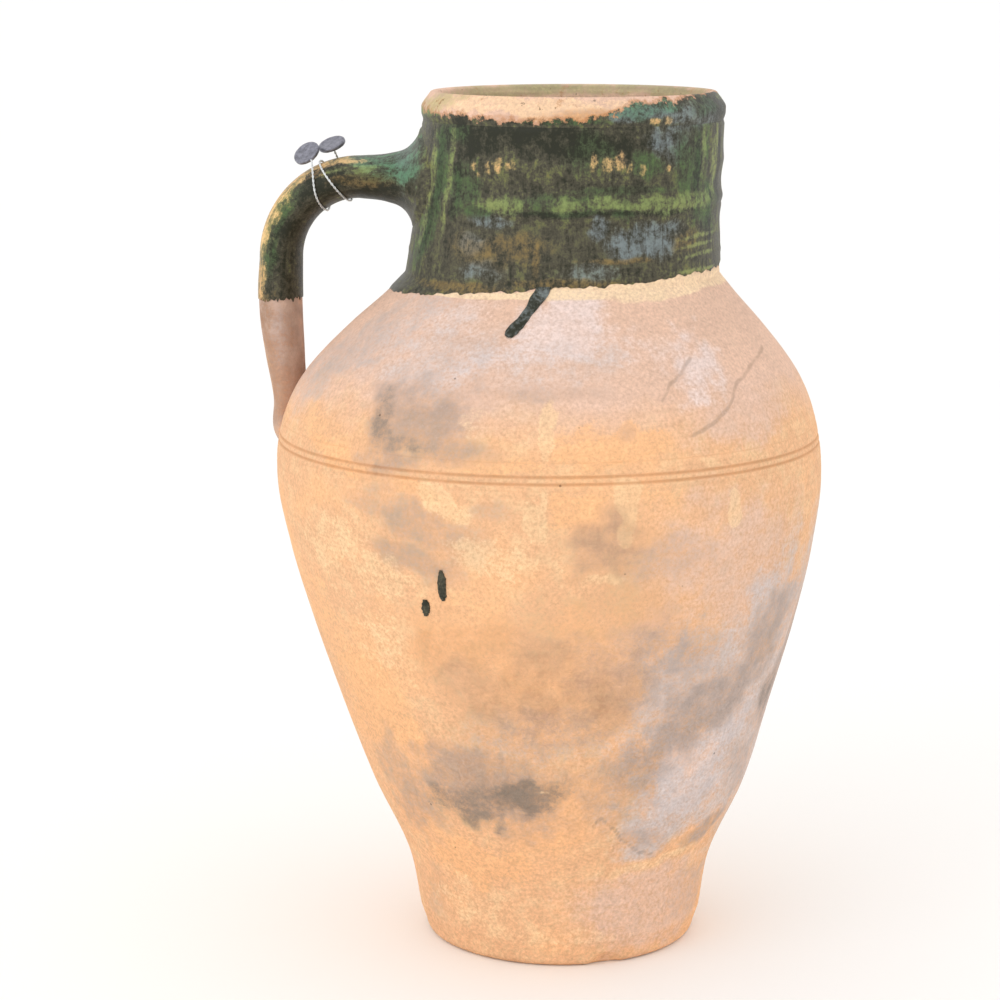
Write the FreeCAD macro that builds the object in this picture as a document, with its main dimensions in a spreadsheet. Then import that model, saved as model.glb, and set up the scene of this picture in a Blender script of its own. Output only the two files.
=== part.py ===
"""Olive jar of thrown clay with a glazed neck, one pulled handle and a wired pair of lead seals.

Millimetres, +Z up. The origin is the middle of the base, on the floor, and the handle points to -X.
The jar is not straight: the belly leans to the handle and the neck leans back, so every ring of the
wall has its own centre.
"""
import FreeCAD, Part
import math
import os
import re
import Sketcher
from FreeCAD import Placement, Rotation, Vector

SIZES = {
    # Base slab and thrown walls
    "slab_thickness": 16,
    "slab_bottom_radius": 83,
    "slab_edge_round": 6,
    "foot_radius": 88,
    "belly_rise": 274,
    "belly_radius": 166.6,
    "belly_lean": 8,
    "shoulder_rise": 122,
    "wall": 10,
    "joint_scarf": 20,
    "groove_spacing": 4,
    "groove_round": 1.1,
    "groove_depth": 0.7,
    # Neck and lip
    "neck_foot_radius": 95,
    "neck_foot_lean": 0.5,
    "neck_radius": 90,
    "neck_rise": 91,
    "neck_wall": 10,
    "ring_relief": 0.5,
    "lip_lean": 6.4,
    "lip_height": 18.2,
    "lip_overhang": 1.6,
    "lip_bead_rise": 4.5,
    "lip_arris_rise": 9.5,
    "lip_crest_inset": 5,
    "lip_mouth_drop": 2.5,
    "lip_round": 1.6,
    # Handle
    "handle_stand": 174,
    "crown_rise": 55.5,
    "bend_radius": 50,
    "strap_width": 38,
    "strap_thickness": 24.5,
    "root_width": 92,
    "root_height": 70,
    "root_drop": 3.5,
    "root_sink": 24,
    "limb_drop": 119.5,
    "limb_tuck": 8,
    # Glaze
    "glaze_thickness": 0.6,
    "neck_glaze_gap": 3,
    "handle_glaze_drop": 25.5,
    "run_thickness": 0.9,
    "run_length": 32,
    "run_width": 8.4,
    "run_side": 6,
    "run_drop": 12,
    "splash_width": 5.2,
    "upper_splash_length": 18,
    "upper_splash_side": 45.4,
    "upper_splash_drop": 40,
    "lower_splash_length": 10.5,
    "lower_splash_side": 55.9,
    "lower_splash_drop": 55,
    # Seals and their wire
    "wire_radius": 0.7,
    "wire_clearance": 0.6,
    "wire_end_cover": 0.6,
    "seal_radius": 8.75,
    "seal_thickness": 3,
    "seal_edge_round": 0.8,
    "seal_die_radius": 6.2,
    "seal_die_depth": 0.4,
    "front_seal_lift": 9,
    "front_seal_fore": 2.5,
    "front_wire_shift": 2.2,
    "back_seal_lift": 8.7,
    "back_seal_aft": 7,
    # How far a cutting form runs past the work
    "overrun": 5,
}

ANGLES = {
    "run_tilt_angle": 28,
    "splash_tilt_angle": 6,
    "wire_crossing_angle": 112.5,
    "wire_splay_angle": 12.5,
    "front_seal_angle": 117,
    "front_seal_tilt_angle": 38,
    "back_seal_angle": 105.5,
    "back_seal_tilt_angle": 23,
}

# Shares of the rise from slab to belly, of the swell from foot to belly, and of the belly's lean
LOWER_WALL_SHARES = (
    (0.0, 0.0, 0.0),
    (0.12, 0.075, 0.05),
    (0.31, 0.363, 0.1),
    (0.49, 0.57, 0.37),
    (0.67, 0.765, 0.54),
    (0.85, 0.925, 0.78),
    (1.0, 1.0, 0.97),
)

# Shares of the rise from belly to neck foot, and of the swell and lean that are still left there
JOINT_SHARES = (0.19, 0.978, 1.0)
SHOULDER_SHARES = (
    JOINT_SHARES,
    (0.49, 0.785, 0.8),
    (0.74, 0.43, 0.43),
    (0.9, 0.155, 0.13),
    (1.0, 0.0, 0.0),
)

# Shares of the neck's rise, of the taper that is still left there, and of the throwing rings' relief
NECK_SHARES = (
    (0.0, 1.0, 0.0),
    (0.125, 0.75, 0.0),
    (0.25, 0.46, 0.8),
    (0.375, 0.37, -0.6),
    (0.5, 0.3, 1.0),
    (0.625, 0.22, -1.0),
    (0.75, 0.14, 0.7),
    (0.875, 0.06, 0.0),
    (1.0, 0.0, 0.0),
)

# Shares of the handle root's run to the neck, and of its growth to the full root
ROOT_SHARES = (
    (0.0, 0.0),
    (0.3, 0.08),
    (0.52, 0.27),
    (0.68, 0.6),
    (0.84, 0.88),
    (1.0, 1.0),
)

# Shares of the lower limb's drop, of its tuck to the body, of its thickness and of its width
LIMB_SHARES = (
    (0.0, 0.0, 1.0, 1.0),
    (0.15, -0.1, 1.05, 0.99),
    (0.3, -0.06, 1.05, 0.97),
    (0.5, 0.2, 0.95, 0.93),
    (0.72, 0.5, 0.76, 0.92),
    (0.9, 0.3, 0.58, 0.88),
    (1.0, 0.9, 0.4, 0.7),
)

# Plain sums of size names that several pieces share
BELLY_HEIGHT = "slab_thickness + belly_rise"
NECK_FOOT_HEIGHT = f"{BELLY_HEIGHT} + shoulder_rise"
LIP_FOOT_HEIGHT = f"{NECK_FOOT_HEIGHT} + neck_rise"
MOUTH_RADIUS = "neck_radius - neck_wall"
BEND_REACH = "handle_stand - bend_radius"
BEND_HEIGHT = f"{NECK_FOOT_HEIGHT} + crown_rise - bend_radius"
JOINT_HEIGHT = f"{BELLY_HEIGHT} + {JOINT_SHARES[0]} * shoulder_rise"
JOINT_RADIUS = f"neck_foot_radius + {JOINT_SHARES[1]} * (belly_radius - neck_foot_radius)"

QUARTER_TURN = math.pi / 2
ACROSS_X = Rotation(Vector(1, 1, 1), 120)
ACROSS_Y = Rotation(Vector(1, 0, 0), 90)
ACROSS_Z = Rotation(Vector(0, 0, 1), 90)
SAME_PLACE = 1e-6

doc = FreeCAD.newDocument("olive_jar")
sheet = doc.addObject("Spreadsheet::Sheet", "sizes")


def fill_sheet():
    """Give each driving size a cell whose alias is its name."""
    for row, (name, size) in enumerate({**SIZES, **ANGLES}.items(), start=1):
        sheet.set(f"A{row}", name)
        sheet.set(f"B{row}", str(size))
        sheet.setAlias(f"B{row}", name)
    doc.recompute()


def size(plain_sum):
    """Add up a plain sum of size names, such as "neck_radius - neck_wall", from the sheet."""
    result = 0.0
    sign = 1
    for word in plain_sum.split():
        if word in "+-":
            sign = 1 if word == "+" else -1
        else:
            result += sign * float(sheet.get(word))
    return result


def bound(formula):
    """Turn a formula of size names into an expression on the sheet's cells."""
    named = {**SIZES, **ANGLES}
    return re.sub(r"[a-z_]+", lambda found: f"sizes.{found[0]}" if found[0] in named else found[0], formula)


def sized(kind, name, turn=Rotation(), **formulas):
    """Add an object whose properties follow the sheet. Its place is given by x, y and z."""
    made = doc.addObject(kind, name)
    made.Placement = Placement(Vector(), turn)
    for key, formula in formulas.items():
        made.setExpression(f"Placement.Base.{key}" if key in "xyz" else key, bound(formula))
    return made


def lofted(name, sections):
    loft = doc.addObject("Part::Loft", name)
    loft.Sections = sections
    loft.Solid = True
    return loft


def ring_form(name, stations):
    """Skin a solid through level rings, each given as height, radius and lean."""
    rings = []
    for index, (height, radius, lean) in enumerate(stations):
        rings.append(sized("Part::Circle", f"{name}_ring_{index}", Radius=radius, x=lean, z=height))
    return lofted(name, rings)


def boolean(kind, name, base, tool):
    made = doc.addObject(kind, name)
    made.Base = base
    made.Tool = tool
    return made


def cut(name, base, tool):
    return boolean("Part::Cut", name, base, tool)


def common(name, base, tool):
    return boolean("Part::Common", name, base, tool)


def fused(name, shapes):
    made = doc.addObject("Part::MultiFuse", name)
    made.Shapes = shapes
    return made


def seated(name, base, *seats):
    """Cut a piece to the faces that it seats on, exactly: a Part::Cut's tolerance loses the neck's face."""
    doc.recompute()
    shape = base.Shape
    for seat in seats:
        shape = shape.cut(seat.Shape)
    made = doc.addObject("Part::Feature", name)
    made.Shape = shape
    return made


def turned_body(name, outline, round_size, round_corners):
    """Revolve a closed outline of (radius, height) sums about Z, and round the corners listed."""
    body = doc.addObject("PartDesign::Body", name)
    sketch = body.newObject("Sketcher::SketchObject", f"{name}_outline")
    plane = next(item for item in body.Origin.OriginFeatures if item.Role == "XZ_Plane")
    sketch.AttachmentSupport = [(plane, "")]
    sketch.MapMode = "FlatFace"
    corners = [Vector(*(0 if place == "0" else size(place) for place in corner)) for corner in outline]
    for index, corner in enumerate(corners):
        sketch.addGeometry(Part.LineSegment(corner, corners[(index + 1) % len(corners)]), False)
    for index, places in enumerate(outline):
        sketch.addConstraint(Sketcher.Constraint("Coincident", (index - 1) % len(corners), 2, index, 1))
        for kind, place, axis in zip(("DistanceX", "DistanceY"), places, (-2, -1)):
            if place == "0":
                sketch.addConstraint(Sketcher.Constraint("PointOnObject", index, 1, axis))
            else:
                number = sketch.addConstraint(Sketcher.Constraint(kind, -1, 1, index, 1, size(place)))
                sketch.setExpression(f"Constraints[{number}]", bound(place))
    turn = body.newObject("PartDesign::Revolution", f"{name}_turn")
    turn.Profile = sketch
    turn.ReferenceAxis = (sketch, ["V_Axis"])
    doc.recompute()
    edges = []
    for number, edge in enumerate(turn.Shape.Edges, start=1):
        if isinstance(edge.Curve, Part.Circle):
            place = Vector(edge.Curve.Radius, edge.Curve.Center.z)
            if any(place.isEqual(corners[index], SAME_PLACE) for index in round_corners):
                edges.append(f"Edge{number}")
    rounds = body.newObject("PartDesign::Fillet", f"{name}_rounds")
    rounds.Base = (turn, edges)
    rounds.setExpression("Radius", bound(round_size))
    return body


def body_stations():
    """Heights, radii and leans of the body's rings, from the slab's top to the neck's foot."""
    stations = []
    for rise, swell, lean in LOWER_WALL_SHARES:
        height = f"slab_thickness + {rise} * belly_rise"
        radius = f"foot_radius + {swell} * (belly_radius - foot_radius)"
        stations.append((height, radius, f"-{lean} * belly_lean"))
    for rise, swell, lean in SHOULDER_SHARES:
        height = f"{BELLY_HEIGHT} + {rise} * shoulder_rise"
        radius = f"neck_foot_radius + {swell} * (belly_radius - neck_foot_radius)"
        stations.append((height, radius, f"neck_foot_lean - {lean} * (belly_lean + neck_foot_lean)"))
    return stations


def inside(stations):
    """The rings of the wall's inner face, one wall thickness in, measured square to the slope."""
    inner = []
    for index, (height, radius, lean) in enumerate(stations):
        low_height, low_radius, _ = stations[max(index - 1, 0)]
        high_height, high_radius, _ = stations[min(index + 1, len(stations) - 1)]
        slope = f"(({high_radius}) - ({low_radius})) / (({high_height}) - ({low_height}))"
        inner.append((height, f"{radius} - wall * sqrt(1 + ({slope})^2)", lean))
    return inner


def neck_stations():
    """Heights, radii and leans of the neck's rings, with the low ridges left by throwing."""
    stations = []
    for rise, taper, ridge in NECK_SHARES:
        height = f"{NECK_FOOT_HEIGHT} + {rise} * neck_rise"
        radius = f"neck_radius + {taper} * (neck_foot_radius - neck_radius) + {ridge} * ring_relief"
        stations.append((height, radius, f"neck_foot_lean + {rise} * (lip_lean - neck_foot_lean)"))
    return stations


def grown(stations, amount):
    return [(height, f"{radius} + {amount}", lean) for height, radius, lean in stations]


def make_slab():
    outline = (
        ("0", "0"),
        ("slab_bottom_radius", "0"),
        ("foot_radius", "slab_thickness"),
        ("0", "slab_thickness"),
    )
    return turned_body("base_slab", outline, "slab_edge_round", [1])


def make_walls(body_form, cavity):
    """Part the wall at a scarfed joint under an incised double line."""
    wall = cut("wall", body_form, cavity)
    lean = "-belly_lean"
    below = sized(
        "Part::Cylinder", "below_joint", x=lean,
        Radius=f"{JOINT_RADIUS} + joint_scarf", Height=f"{JOINT_HEIGHT} - joint_scarf",
    )
    scarf = sized(
        "Part::Cone", "scarf", x=lean, z=f"{JOINT_HEIGHT} - joint_scarf", Height="2 * joint_scarf",
        Radius1=f"{JOINT_RADIUS} + joint_scarf", Radius2=f"{JOINT_RADIUS} - joint_scarf",
    )
    lower_zone = fused("lower_zone", [below, scarf])
    grooves = []
    for name, side in (("lower_groove", "-"), ("upper_groove", "+")):
        grooves.append(sized(
            "Part::Torus", name, x=lean, z=f"{JOINT_HEIGHT} {side} groove_spacing / 2",
            Radius1=f"{JOINT_RADIUS} + groove_round - groove_depth", Radius2="groove_round",
        ))
    lower = cut("lower_wall", common("lower_zone_wall", wall, lower_zone), grooves[0])
    upper = cut("upper_wall", cut("upper_zone_wall", wall, lower_zone), grooves[1])
    return lower, upper


def make_lip():
    """The rim's band: a low bead, a bevel to the crest and a soft inner edge."""
    outline = (
        (MOUTH_RADIUS, LIP_FOOT_HEIGHT),
        ("neck_radius", LIP_FOOT_HEIGHT),
        ("neck_radius + lip_overhang", f"{LIP_FOOT_HEIGHT} + lip_bead_rise"),
        ("neck_radius + lip_overhang", f"{LIP_FOOT_HEIGHT} + lip_arris_rise"),
        ("neck_radius - lip_crest_inset", f"{LIP_FOOT_HEIGHT} + lip_height"),
        (MOUTH_RADIUS, f"{LIP_FOOT_HEIGHT} + lip_height - lip_mouth_drop"),
    )
    lip = turned_body("rim_lip", outline, "lip_round", [2, 3, 4, 5])
    lip.setExpression("Placement.Base.x", bound("lip_lean"))
    return lip


def oval(name, turn, width, thickness, x, z):
    """An oval section of the strap, wide across Y."""
    halves = {"MajorRadius": f"({width}) / 2", "MinorRadius": f"({thickness}) / 2"}
    return sized("Part::Ellipse", name, turn, **halves, x=x, z=z)


def strap_form(name, growth):
    """The pulled strap: a root that flares to the neck, a round bend and a tapering lower limb."""
    extra = f"2 * {growth}"
    root_run = f"({BEND_REACH} - neck_radius + root_sink)"
    root = []
    for index, (run, share) in enumerate(ROOT_SHARES):
        root.append(oval(
            f"{name}_root_{index}", ACROSS_X,
            f"strap_width + {share} * (root_width - strap_width) + {extra}",
            f"strap_thickness + {share} * (root_height - strap_thickness) + {extra}",
            f"-({BEND_REACH}) + {run} * {root_run}",
            f"{BEND_HEIGHT} + bend_radius - {share} * root_drop",
        ))
    limb = []
    for index, (drop, tuck, thickness, width) in enumerate(LIMB_SHARES):
        limb.append(oval(
            f"{name}_limb_{index}", ACROSS_Z,
            f"{width} * strap_width + {extra}",
            f"{thickness} * strap_thickness + {extra}",
            f"-handle_stand + {tuck} * limb_tuck",
            f"{BEND_HEIGHT} - {drop} * limb_drop",
        ))
    bend = doc.addObject("Part::Revolution", f"{name}_bend")
    bend.Source = root[0]
    bend.Axis = Vector(0, -1, 0)
    bend.Angle = math.degrees(QUARTER_TURN)
    bend.Solid = True
    bend.setExpression("Base.x", bound(f"-({BEND_REACH})"))
    bend.setExpression("Base.z", bound(BEND_HEIGHT))
    return fused(name, [lofted(f"{name}_root", root), bend, lofted(f"{name}_limb", limb)])


def make_neck_glaze(neck_form, neck_coat, strap):
    """The coat on the neck, from just above the neck's foot to the lip, parted by the handle's root."""
    bare_foot = sized(
        "Part::Cylinder", "bare_neck_foot", x="neck_foot_lean", z=NECK_FOOT_HEIGHT,
        Radius="neck_foot_radius + overrun", Height="neck_glaze_gap",
    )
    coat = cut("neck_coat_above_foot", cut("neck_coat_ring", neck_coat, neck_form), bare_foot)
    return cut("neck_glaze", coat, strap)


def make_handle_glaze(strap, body_form, neck_coat):
    """The coat on the handle, dipped down to a straight edge on the lower limb."""
    dipped = sized(
        "Part::Box", "dipped_zone", x="-handle_stand - strap_width", y="-root_width",
        z=f"{BEND_HEIGHT} - handle_glaze_drop",
        Length="handle_stand + strap_width", Width="2 * root_width",
        Height="handle_glaze_drop + bend_radius + root_height",
    )
    coat = common("dipped_coat", strap_form("strap_coat", "glaze_thickness"), dipped)
    return seated("handle_glaze", coat, strap, body_form, neck_coat)


def make_inner_glaze(stations, cavity, neck_rings, neck_cavity):
    """The lining of the whole inside, up to the lip."""
    bottom, *others = grown(stations, "-glaze_thickness")
    raised = (f"{bottom[0]} + glaze_thickness", bottom[1], bottom[2])
    lined_body = ring_form("lined_body", [raised, *others])
    lined_neck = ring_form("lined_neck", grown(neck_rings, "-glaze_thickness"))
    space = fused("inner_space", [cavity, neck_cavity])
    return cut("inner_glaze", space, fused("lined_space", [lined_body, lined_neck]))


def make_drops(body_form, run_form):
    """The run below the neck and the two splashes, each a thin oval patch on the body's face."""
    skin = cut("drop_skin", run_form, body_form)
    patches = (
        ("glaze_run", "run", "run", NECK_FOOT_HEIGHT, -1),
        ("upper_splash", "upper_splash", "splash", BELLY_HEIGHT, 1),
        ("lower_splash", "lower_splash", "splash", BELLY_HEIGHT, 1),
    )
    drops = []
    for name, piece, kind, top, side in patches:
        tilt = math.degrees(QUARTER_TURN) + side * size(f"{kind}_tilt_angle")
        edge = sized(
            "Part::Ellipse", f"{name}_edge", ACROSS_Y * Rotation(Vector(0, 0, 1), tilt),
            x=f"-{piece}_side", z=f"{top} - {piece}_drop",
            MajorRadius=f"{piece}_length / 2", MinorRadius=f"{kind}_width / 2",
        )
        patch = doc.addObject("Part::Extrusion", f"{name}_patch")
        patch.Base = edge
        patch.DirMode = "Custom"
        patch.Dir = Vector(0, -1, 0)
        patch.Solid = True
        patch.setExpression("LengthFwd", bound("belly_radius + overrun"))
        drops.append(common(name, skin, patch))
    return drops


def on_bend(angle, out, across):
    """A point beside the handle's bend: degrees round it, out from its centreline, and along Y."""
    reach = size("bend_radius") + out
    turned = math.radians(angle)
    return Vector(
        reach * math.cos(turned) - size(BEND_REACH),
        across,
        reach * math.sin(turned) + size(BEND_HEIGHT),
    )


def way_out(angle):
    """The direction straight out of the bend at an angle."""
    return on_bend(angle, 1, 0) - on_bend(angle, 0, 0)


class Seal:
    """Where one seal stands: its middle, the way its face looks, and its slope from low to high edge."""

    def __init__(self, name, across):
        angle = size(f"{name}_angle")
        tilt = math.radians(size(f"{name}_tilt_angle"))
        lift = size("strap_thickness") / 2 + size(f"glaze_thickness + {name}_lift")
        out = way_out(angle)
        fore = Vector(0, -1, 0)
        self.name = name
        self.middle = on_bend(angle, lift, across)
        self.face = out * math.cos(tilt) + fore * math.sin(tilt)
        self.slope = out * math.sin(tilt) - fore * math.cos(tilt)
        self.side = self.slope.cross(self.face)

    def blank(self):
        """The cast disc with the shallow bare mark that the crimping die leaves."""
        outline = (
            ("0", "0"),
            ("seal_radius", "0"),
            ("seal_radius", "seal_thickness"),
            ("seal_die_radius", "seal_thickness"),
            ("seal_die_radius", "seal_thickness - seal_die_depth"),
            ("0", "seal_thickness - seal_die_depth"),
        )
        body = turned_body(f"{self.name}_blank", outline, "seal_edge_round", [1, 2])
        turn = Rotation(self.side, self.slope, self.face, "ZXY")
        body.Placement = Placement(self.middle - self.face * (size("seal_thickness") / 2), turn)
        return body


def round_strap(phase, angle):
    """A point of the wire's oval round the strap, one clearance off the glaze."""
    clear = size("glaze_thickness + wire_clearance + wire_radius")
    out = (size("strap_thickness") / 2 + clear) * math.cos(phase)
    across = -(size("strap_width") / 2 + clear) * math.sin(phase)
    return on_bend(angle, out, across)


def wound_point(phase):
    """A point of the two turns: they cross on the crown at two pi, and splay apart under the bend."""
    splay = size("wire_splay_angle") * (1 - math.cos(phase)) / 2
    crossed = phase > 4 * QUARTER_TURN
    return round_strap(phase, size("wire_crossing_angle") + (-splay if crossed else splay))


def stop_at(point_at, phase):
    """A point of a curve with its direction there."""
    step = QUARTER_TURN / 1000
    return point_at(phase), (point_at(phase + step) - point_at(phase - step)).normalize()


def wire_stops(front, back):
    """Points and directions along the wire, from inside the front seal to inside the back one."""
    entry = front.middle + front.side * size("front_wire_shift")
    clear = size("seal_radius + wire_radius + wire_radius")
    stops = [(entry, -front.slope), (entry - front.slope * clear, -front.slope)]
    stops.extend(stop_at(wound_point, quarter * QUARTER_TURN) for quarter in range(1, 8))
    stops.append(stop_at(lambda phase: round_strap(phase, size("back_seal_angle")), 7.5 * QUARTER_TURN))
    half = size("seal_thickness") / 2
    end = half - size("seal_die_depth + wire_end_cover")
    stops.append((back.middle - back.face * (half + size("wire_radius + wire_radius")), back.face))
    stops.append((back.middle + back.face * end, back.face))
    return stops


def arc_edge(start, corner, end):
    """The arc that is tangent to start-corner and corner-end, or a line where these are in line."""
    chord_middle = (start + end) / 2
    rise = corner - chord_middle
    if rise.Length < SAME_PLACE:
        return Part.LineSegment(start, end).toShape()
    half_chord = (end - start).Length / 2
    half_turn = math.atan2(rise.Length, half_chord)
    summit = chord_middle + rise.normalize() * (half_chord * math.tan(half_turn / 2))
    return Part.Arc(start, summit, end).toShape()


def biarc_edges(start, start_way, end, end_way):
    """Two tangent arcs from one point and direction to another."""
    span = end - start
    ways = start_way + end_way
    parted = 2 * (1 - start_way.dot(end_way))
    along = span.dot(ways)
    if parted < SAME_PLACE:
        reach = span.dot(span) / (2 * along)
    else:
        reach = (math.sqrt(along ** 2 + parted * span.dot(span)) - along) / parted
    first = start + start_way * reach
    second = end - end_way * reach
    meeting = (first + second) / 2
    return [arc_edge(start, first, meeting), arc_edge(meeting, second, end)]


def least_self_gap(path):
    """The least clear space between stretches of the wire that are not neighbours along it."""
    gauge = size("wire_radius")
    points = path.discretize(Distance=gauge)
    apart = math.ceil(QUARTER_TURN * size("strap_thickness") / 2 / gauge)
    pairs = ((one, other) for first, one in enumerate(points) for other in points[first + apart:])
    return min(one.distanceToPoint(other) for one, other in pairs) - 2 * gauge


def make_wire(front, back):
    """One unbroken wire: out of the front seal, twice round the handle and into the back seal."""
    stops = wire_stops(front, back)
    edges = []
    for (start, start_way), (end, end_way) in zip(stops, stops[1:]):
        if (end - start).normalize().isEqual(start_way, SAME_PLACE):
            edges.append(Part.LineSegment(start, end).toShape())
        else:
            edges.extend(biarc_edges(start, start_way, end, end_way))
    path = Part.Wire(edges)
    section = Part.Wire(Part.Circle(stops[0][0], stops[0][1], size("wire_radius")).toShape())
    wire = doc.addObject("Part::Feature", "seal_wire")
    wire.Shape = path.makePipeShell([section], True, False)
    wire.Placement = Placement()
    tightest = min(edge.Curve.Radius for edge in edges if isinstance(edge.Curve, Part.Circle))
    swept = math.pi * size("wire_radius") ** 2 * path.Length
    print(f"wire: length {path.Length:.1f}, tightest turn {tightest:.2f}")
    print(f"wire: least self gap {least_self_gap(path):.2f}")
    print(f"wire: volume over section times length {wire.Shape.Volume / swept:.4f}")
    return wire


def make_jar():
    """Build every piece and return the ones that are handed on, each by its label."""
    stations = body_stations()
    inner_stations = inside(stations)
    neck_rings = neck_stations()
    inner_foot = inner_stations[-1]
    inner_mouth = (LIP_FOOT_HEIGHT, MOUTH_RADIUS, "lip_lean")
    inner_neck = [inner_foot, inner_mouth]

    body_form = ring_form("body_form", stations)
    cavity = ring_form("cavity", inner_stations)
    run_form = ring_form("run_form", grown(stations, "run_thickness"))
    neck_form = ring_form("neck_form", neck_rings)
    neck_cavity = ring_form("neck_cavity", inner_neck)
    neck_coat = ring_form("neck_coat", grown(neck_rings, "glaze_thickness"))
    strap = strap_form("strap", "0")

    pieces = [make_slab()]
    pieces.extend(make_walls(body_form, cavity))
    pieces.append(cut("neck_collar", neck_form, neck_cavity))
    pieces.append(make_lip())
    pieces.append(seated("handle", strap, body_form, neck_form))
    pieces.append(make_neck_glaze(neck_form, neck_coat, strap))
    pieces.append(make_handle_glaze(strap, body_form, neck_coat))
    pieces.append(make_inner_glaze(inner_stations, cavity, inner_neck, neck_cavity))
    pieces.extend(make_drops(body_form, run_form))

    front = Seal("front_seal", -size("front_seal_fore"))
    back = Seal("back_seal", size("back_seal_aft"))
    wire = make_wire(front, back)
    pieces.append(wire)
    pieces.append(cut("front_seal", front.blank(), wire))
    pieces.append(cut("back_seal", back.blank(), wire))
    return pieces


def check(pieces):
    """Stop if any object failed or any piece is not a sound solid."""
    doc.recompute()
    failed = [item.Name for item in doc.Objects if {"Invalid", "Error"} & set(item.State)]
    if failed:
        raise RuntimeError(f"objects that failed: {failed}")
    for piece in pieces:
        if piece.Shape.isNull() or not piece.Shape.isValid() or not piece.Shape.Solids:
            raise RuntimeError(f"{piece.Label} is not a sound solid")


def export(pieces):
    os.makedirs("parts", exist_ok=True)
    for piece in pieces:
        piece.Shape.exportStep(f"parts/{piece.Label}.step")
        print(f"{piece.Label}: {len(piece.Shape.Solids)} solid, {piece.Shape.Volume / 1000:.2f} cm3")


fill_sheet()
jar_pieces = make_jar()
check(jar_pieces)
export(jar_pieces)
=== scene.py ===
"""Olive jar: its looks, built around the CAD frame. Laid out as an add-on and run as a script.

Tables and sums are in millimetres and degrees, and meshes in metres. Angles run round the jar from +X,
so the handle is at 180 and the front at -90. A height is measured from the floor.
"""
import math

import bmesh
import bpy
import numpy as np
from bpy.props import FloatProperty, FloatVectorProperty, IntProperty, PointerProperty
from mathutils import Euler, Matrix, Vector, noise


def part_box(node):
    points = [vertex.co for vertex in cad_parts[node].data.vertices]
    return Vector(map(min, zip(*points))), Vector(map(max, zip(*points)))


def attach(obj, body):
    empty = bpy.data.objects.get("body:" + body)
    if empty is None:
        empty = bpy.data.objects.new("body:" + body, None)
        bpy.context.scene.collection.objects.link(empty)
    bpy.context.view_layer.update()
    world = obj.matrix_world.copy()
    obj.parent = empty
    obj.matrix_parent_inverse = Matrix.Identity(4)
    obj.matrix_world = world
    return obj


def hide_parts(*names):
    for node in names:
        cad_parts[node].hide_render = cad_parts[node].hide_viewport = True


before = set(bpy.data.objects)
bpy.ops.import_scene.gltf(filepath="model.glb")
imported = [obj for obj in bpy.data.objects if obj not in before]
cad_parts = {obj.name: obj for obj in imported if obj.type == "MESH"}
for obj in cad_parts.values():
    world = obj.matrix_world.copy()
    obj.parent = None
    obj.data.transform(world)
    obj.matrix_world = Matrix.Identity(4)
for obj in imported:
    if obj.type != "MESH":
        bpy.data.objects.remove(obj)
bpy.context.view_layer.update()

bl_info = {
    "name": "Olive jar",
    "version": (1, 0, 0),
    "blender": (4, 5, 0),
    "location": "View3D > Sidebar > Olive jar",
    "description": "Builds a thrown, half-glazed olive jar with a sealed wire on its handle",
    "category": "Object",
}

MM = 0.001

# Heights and radii that the frame gives
SLAB_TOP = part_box("base_slab")[1].z / MM
FOOT_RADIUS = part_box("base_slab")[1].x / MM
BELLY_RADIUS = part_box("lower_wall")[1].y / MM
NECK_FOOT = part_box("neck_collar")[0].z / MM
LIP_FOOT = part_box("rim_lip")[0].z / MM
RIM_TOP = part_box("rim_lip")[1].z / MM

# Base slab, with spare clay at its edge for the hand relief to cut into
SLAB_BOTTOM_RADIUS = 83
SLAB_EDGE_ROUND = 6
SLAB_SPARE = 1.5
SLAB_STEPS = 12
SLAB_SIDE_STEPS = 8
CHIP_ANGLE = -62
CHIP_HALF_WIDTH = 8
CHIP_DEPTH = 3.2

# Walls and neck
BELLY_HEIGHT = 290
BELLY_LEAN = 8
WALL = 10
JOINT_HEIGHT = 313.2
JOINT_SCARF = 10
NECK_FOOT_RADIUS = 95
NECK_FOOT_LEAN = 0.5
NECK_RADIUS = 90
MOUTH_RADIUS = 80
LIP_LEAN = 6.4
SLOPE_STEP = 1.0

# Rows of faces: on the walls below, beside and above the incised lines, and on the neck
LINES_LOW = 300
LINES_HIGH = 325.2
LOWER_ROWS = 125
LINE_ROWS = 27
SHOULDER_ROWS = 58
LOWER_INNER_ROWS = 20
SHOULDER_INNER_ROWS = 10
NECK_ROWS = 60
NECK_INNER_ROWS = 10

# Height share from slab to belly, share of the swell from foot to belly, and share of the belly's lean
LOWER_SHARES = (
    (0.0, 0.0, 0.0),
    (0.12, 0.075, 0.05),
    (0.31, 0.363, 0.1),
    (0.49, 0.57, 0.37),
    (0.67, 0.765, 0.54),
    (0.85, 0.925, 0.78),
    (1.0, 1.0, 0.97),
)

# Height share from belly to neck foot, and the shares of swell and lean that are still left there
SHOULDER_SHARES = (
    (0.19, 0.978, 1.0),
    (0.49, 0.785, 0.8),
    (0.74, 0.43, 0.43),
    (0.9, 0.155, 0.13),
    (1.0, 0.0, 0.0),
)

# Height share of the neck, share of its taper that is left there, and relief of its throwing rings
NECK_SHARES = (
    (0.0, 1.0, 0.0),
    (0.125, 0.75, 0.0),
    (0.25, 0.46, 0.4),
    (0.375, 0.37, -0.3),
    (0.5, 0.3, 0.5),
    (0.625, 0.22, -0.5),
    (0.75, 0.14, 0.35),
    (0.875, 0.06, 0.0),
    (1.0, 0.0, 0.0),
)

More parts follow.
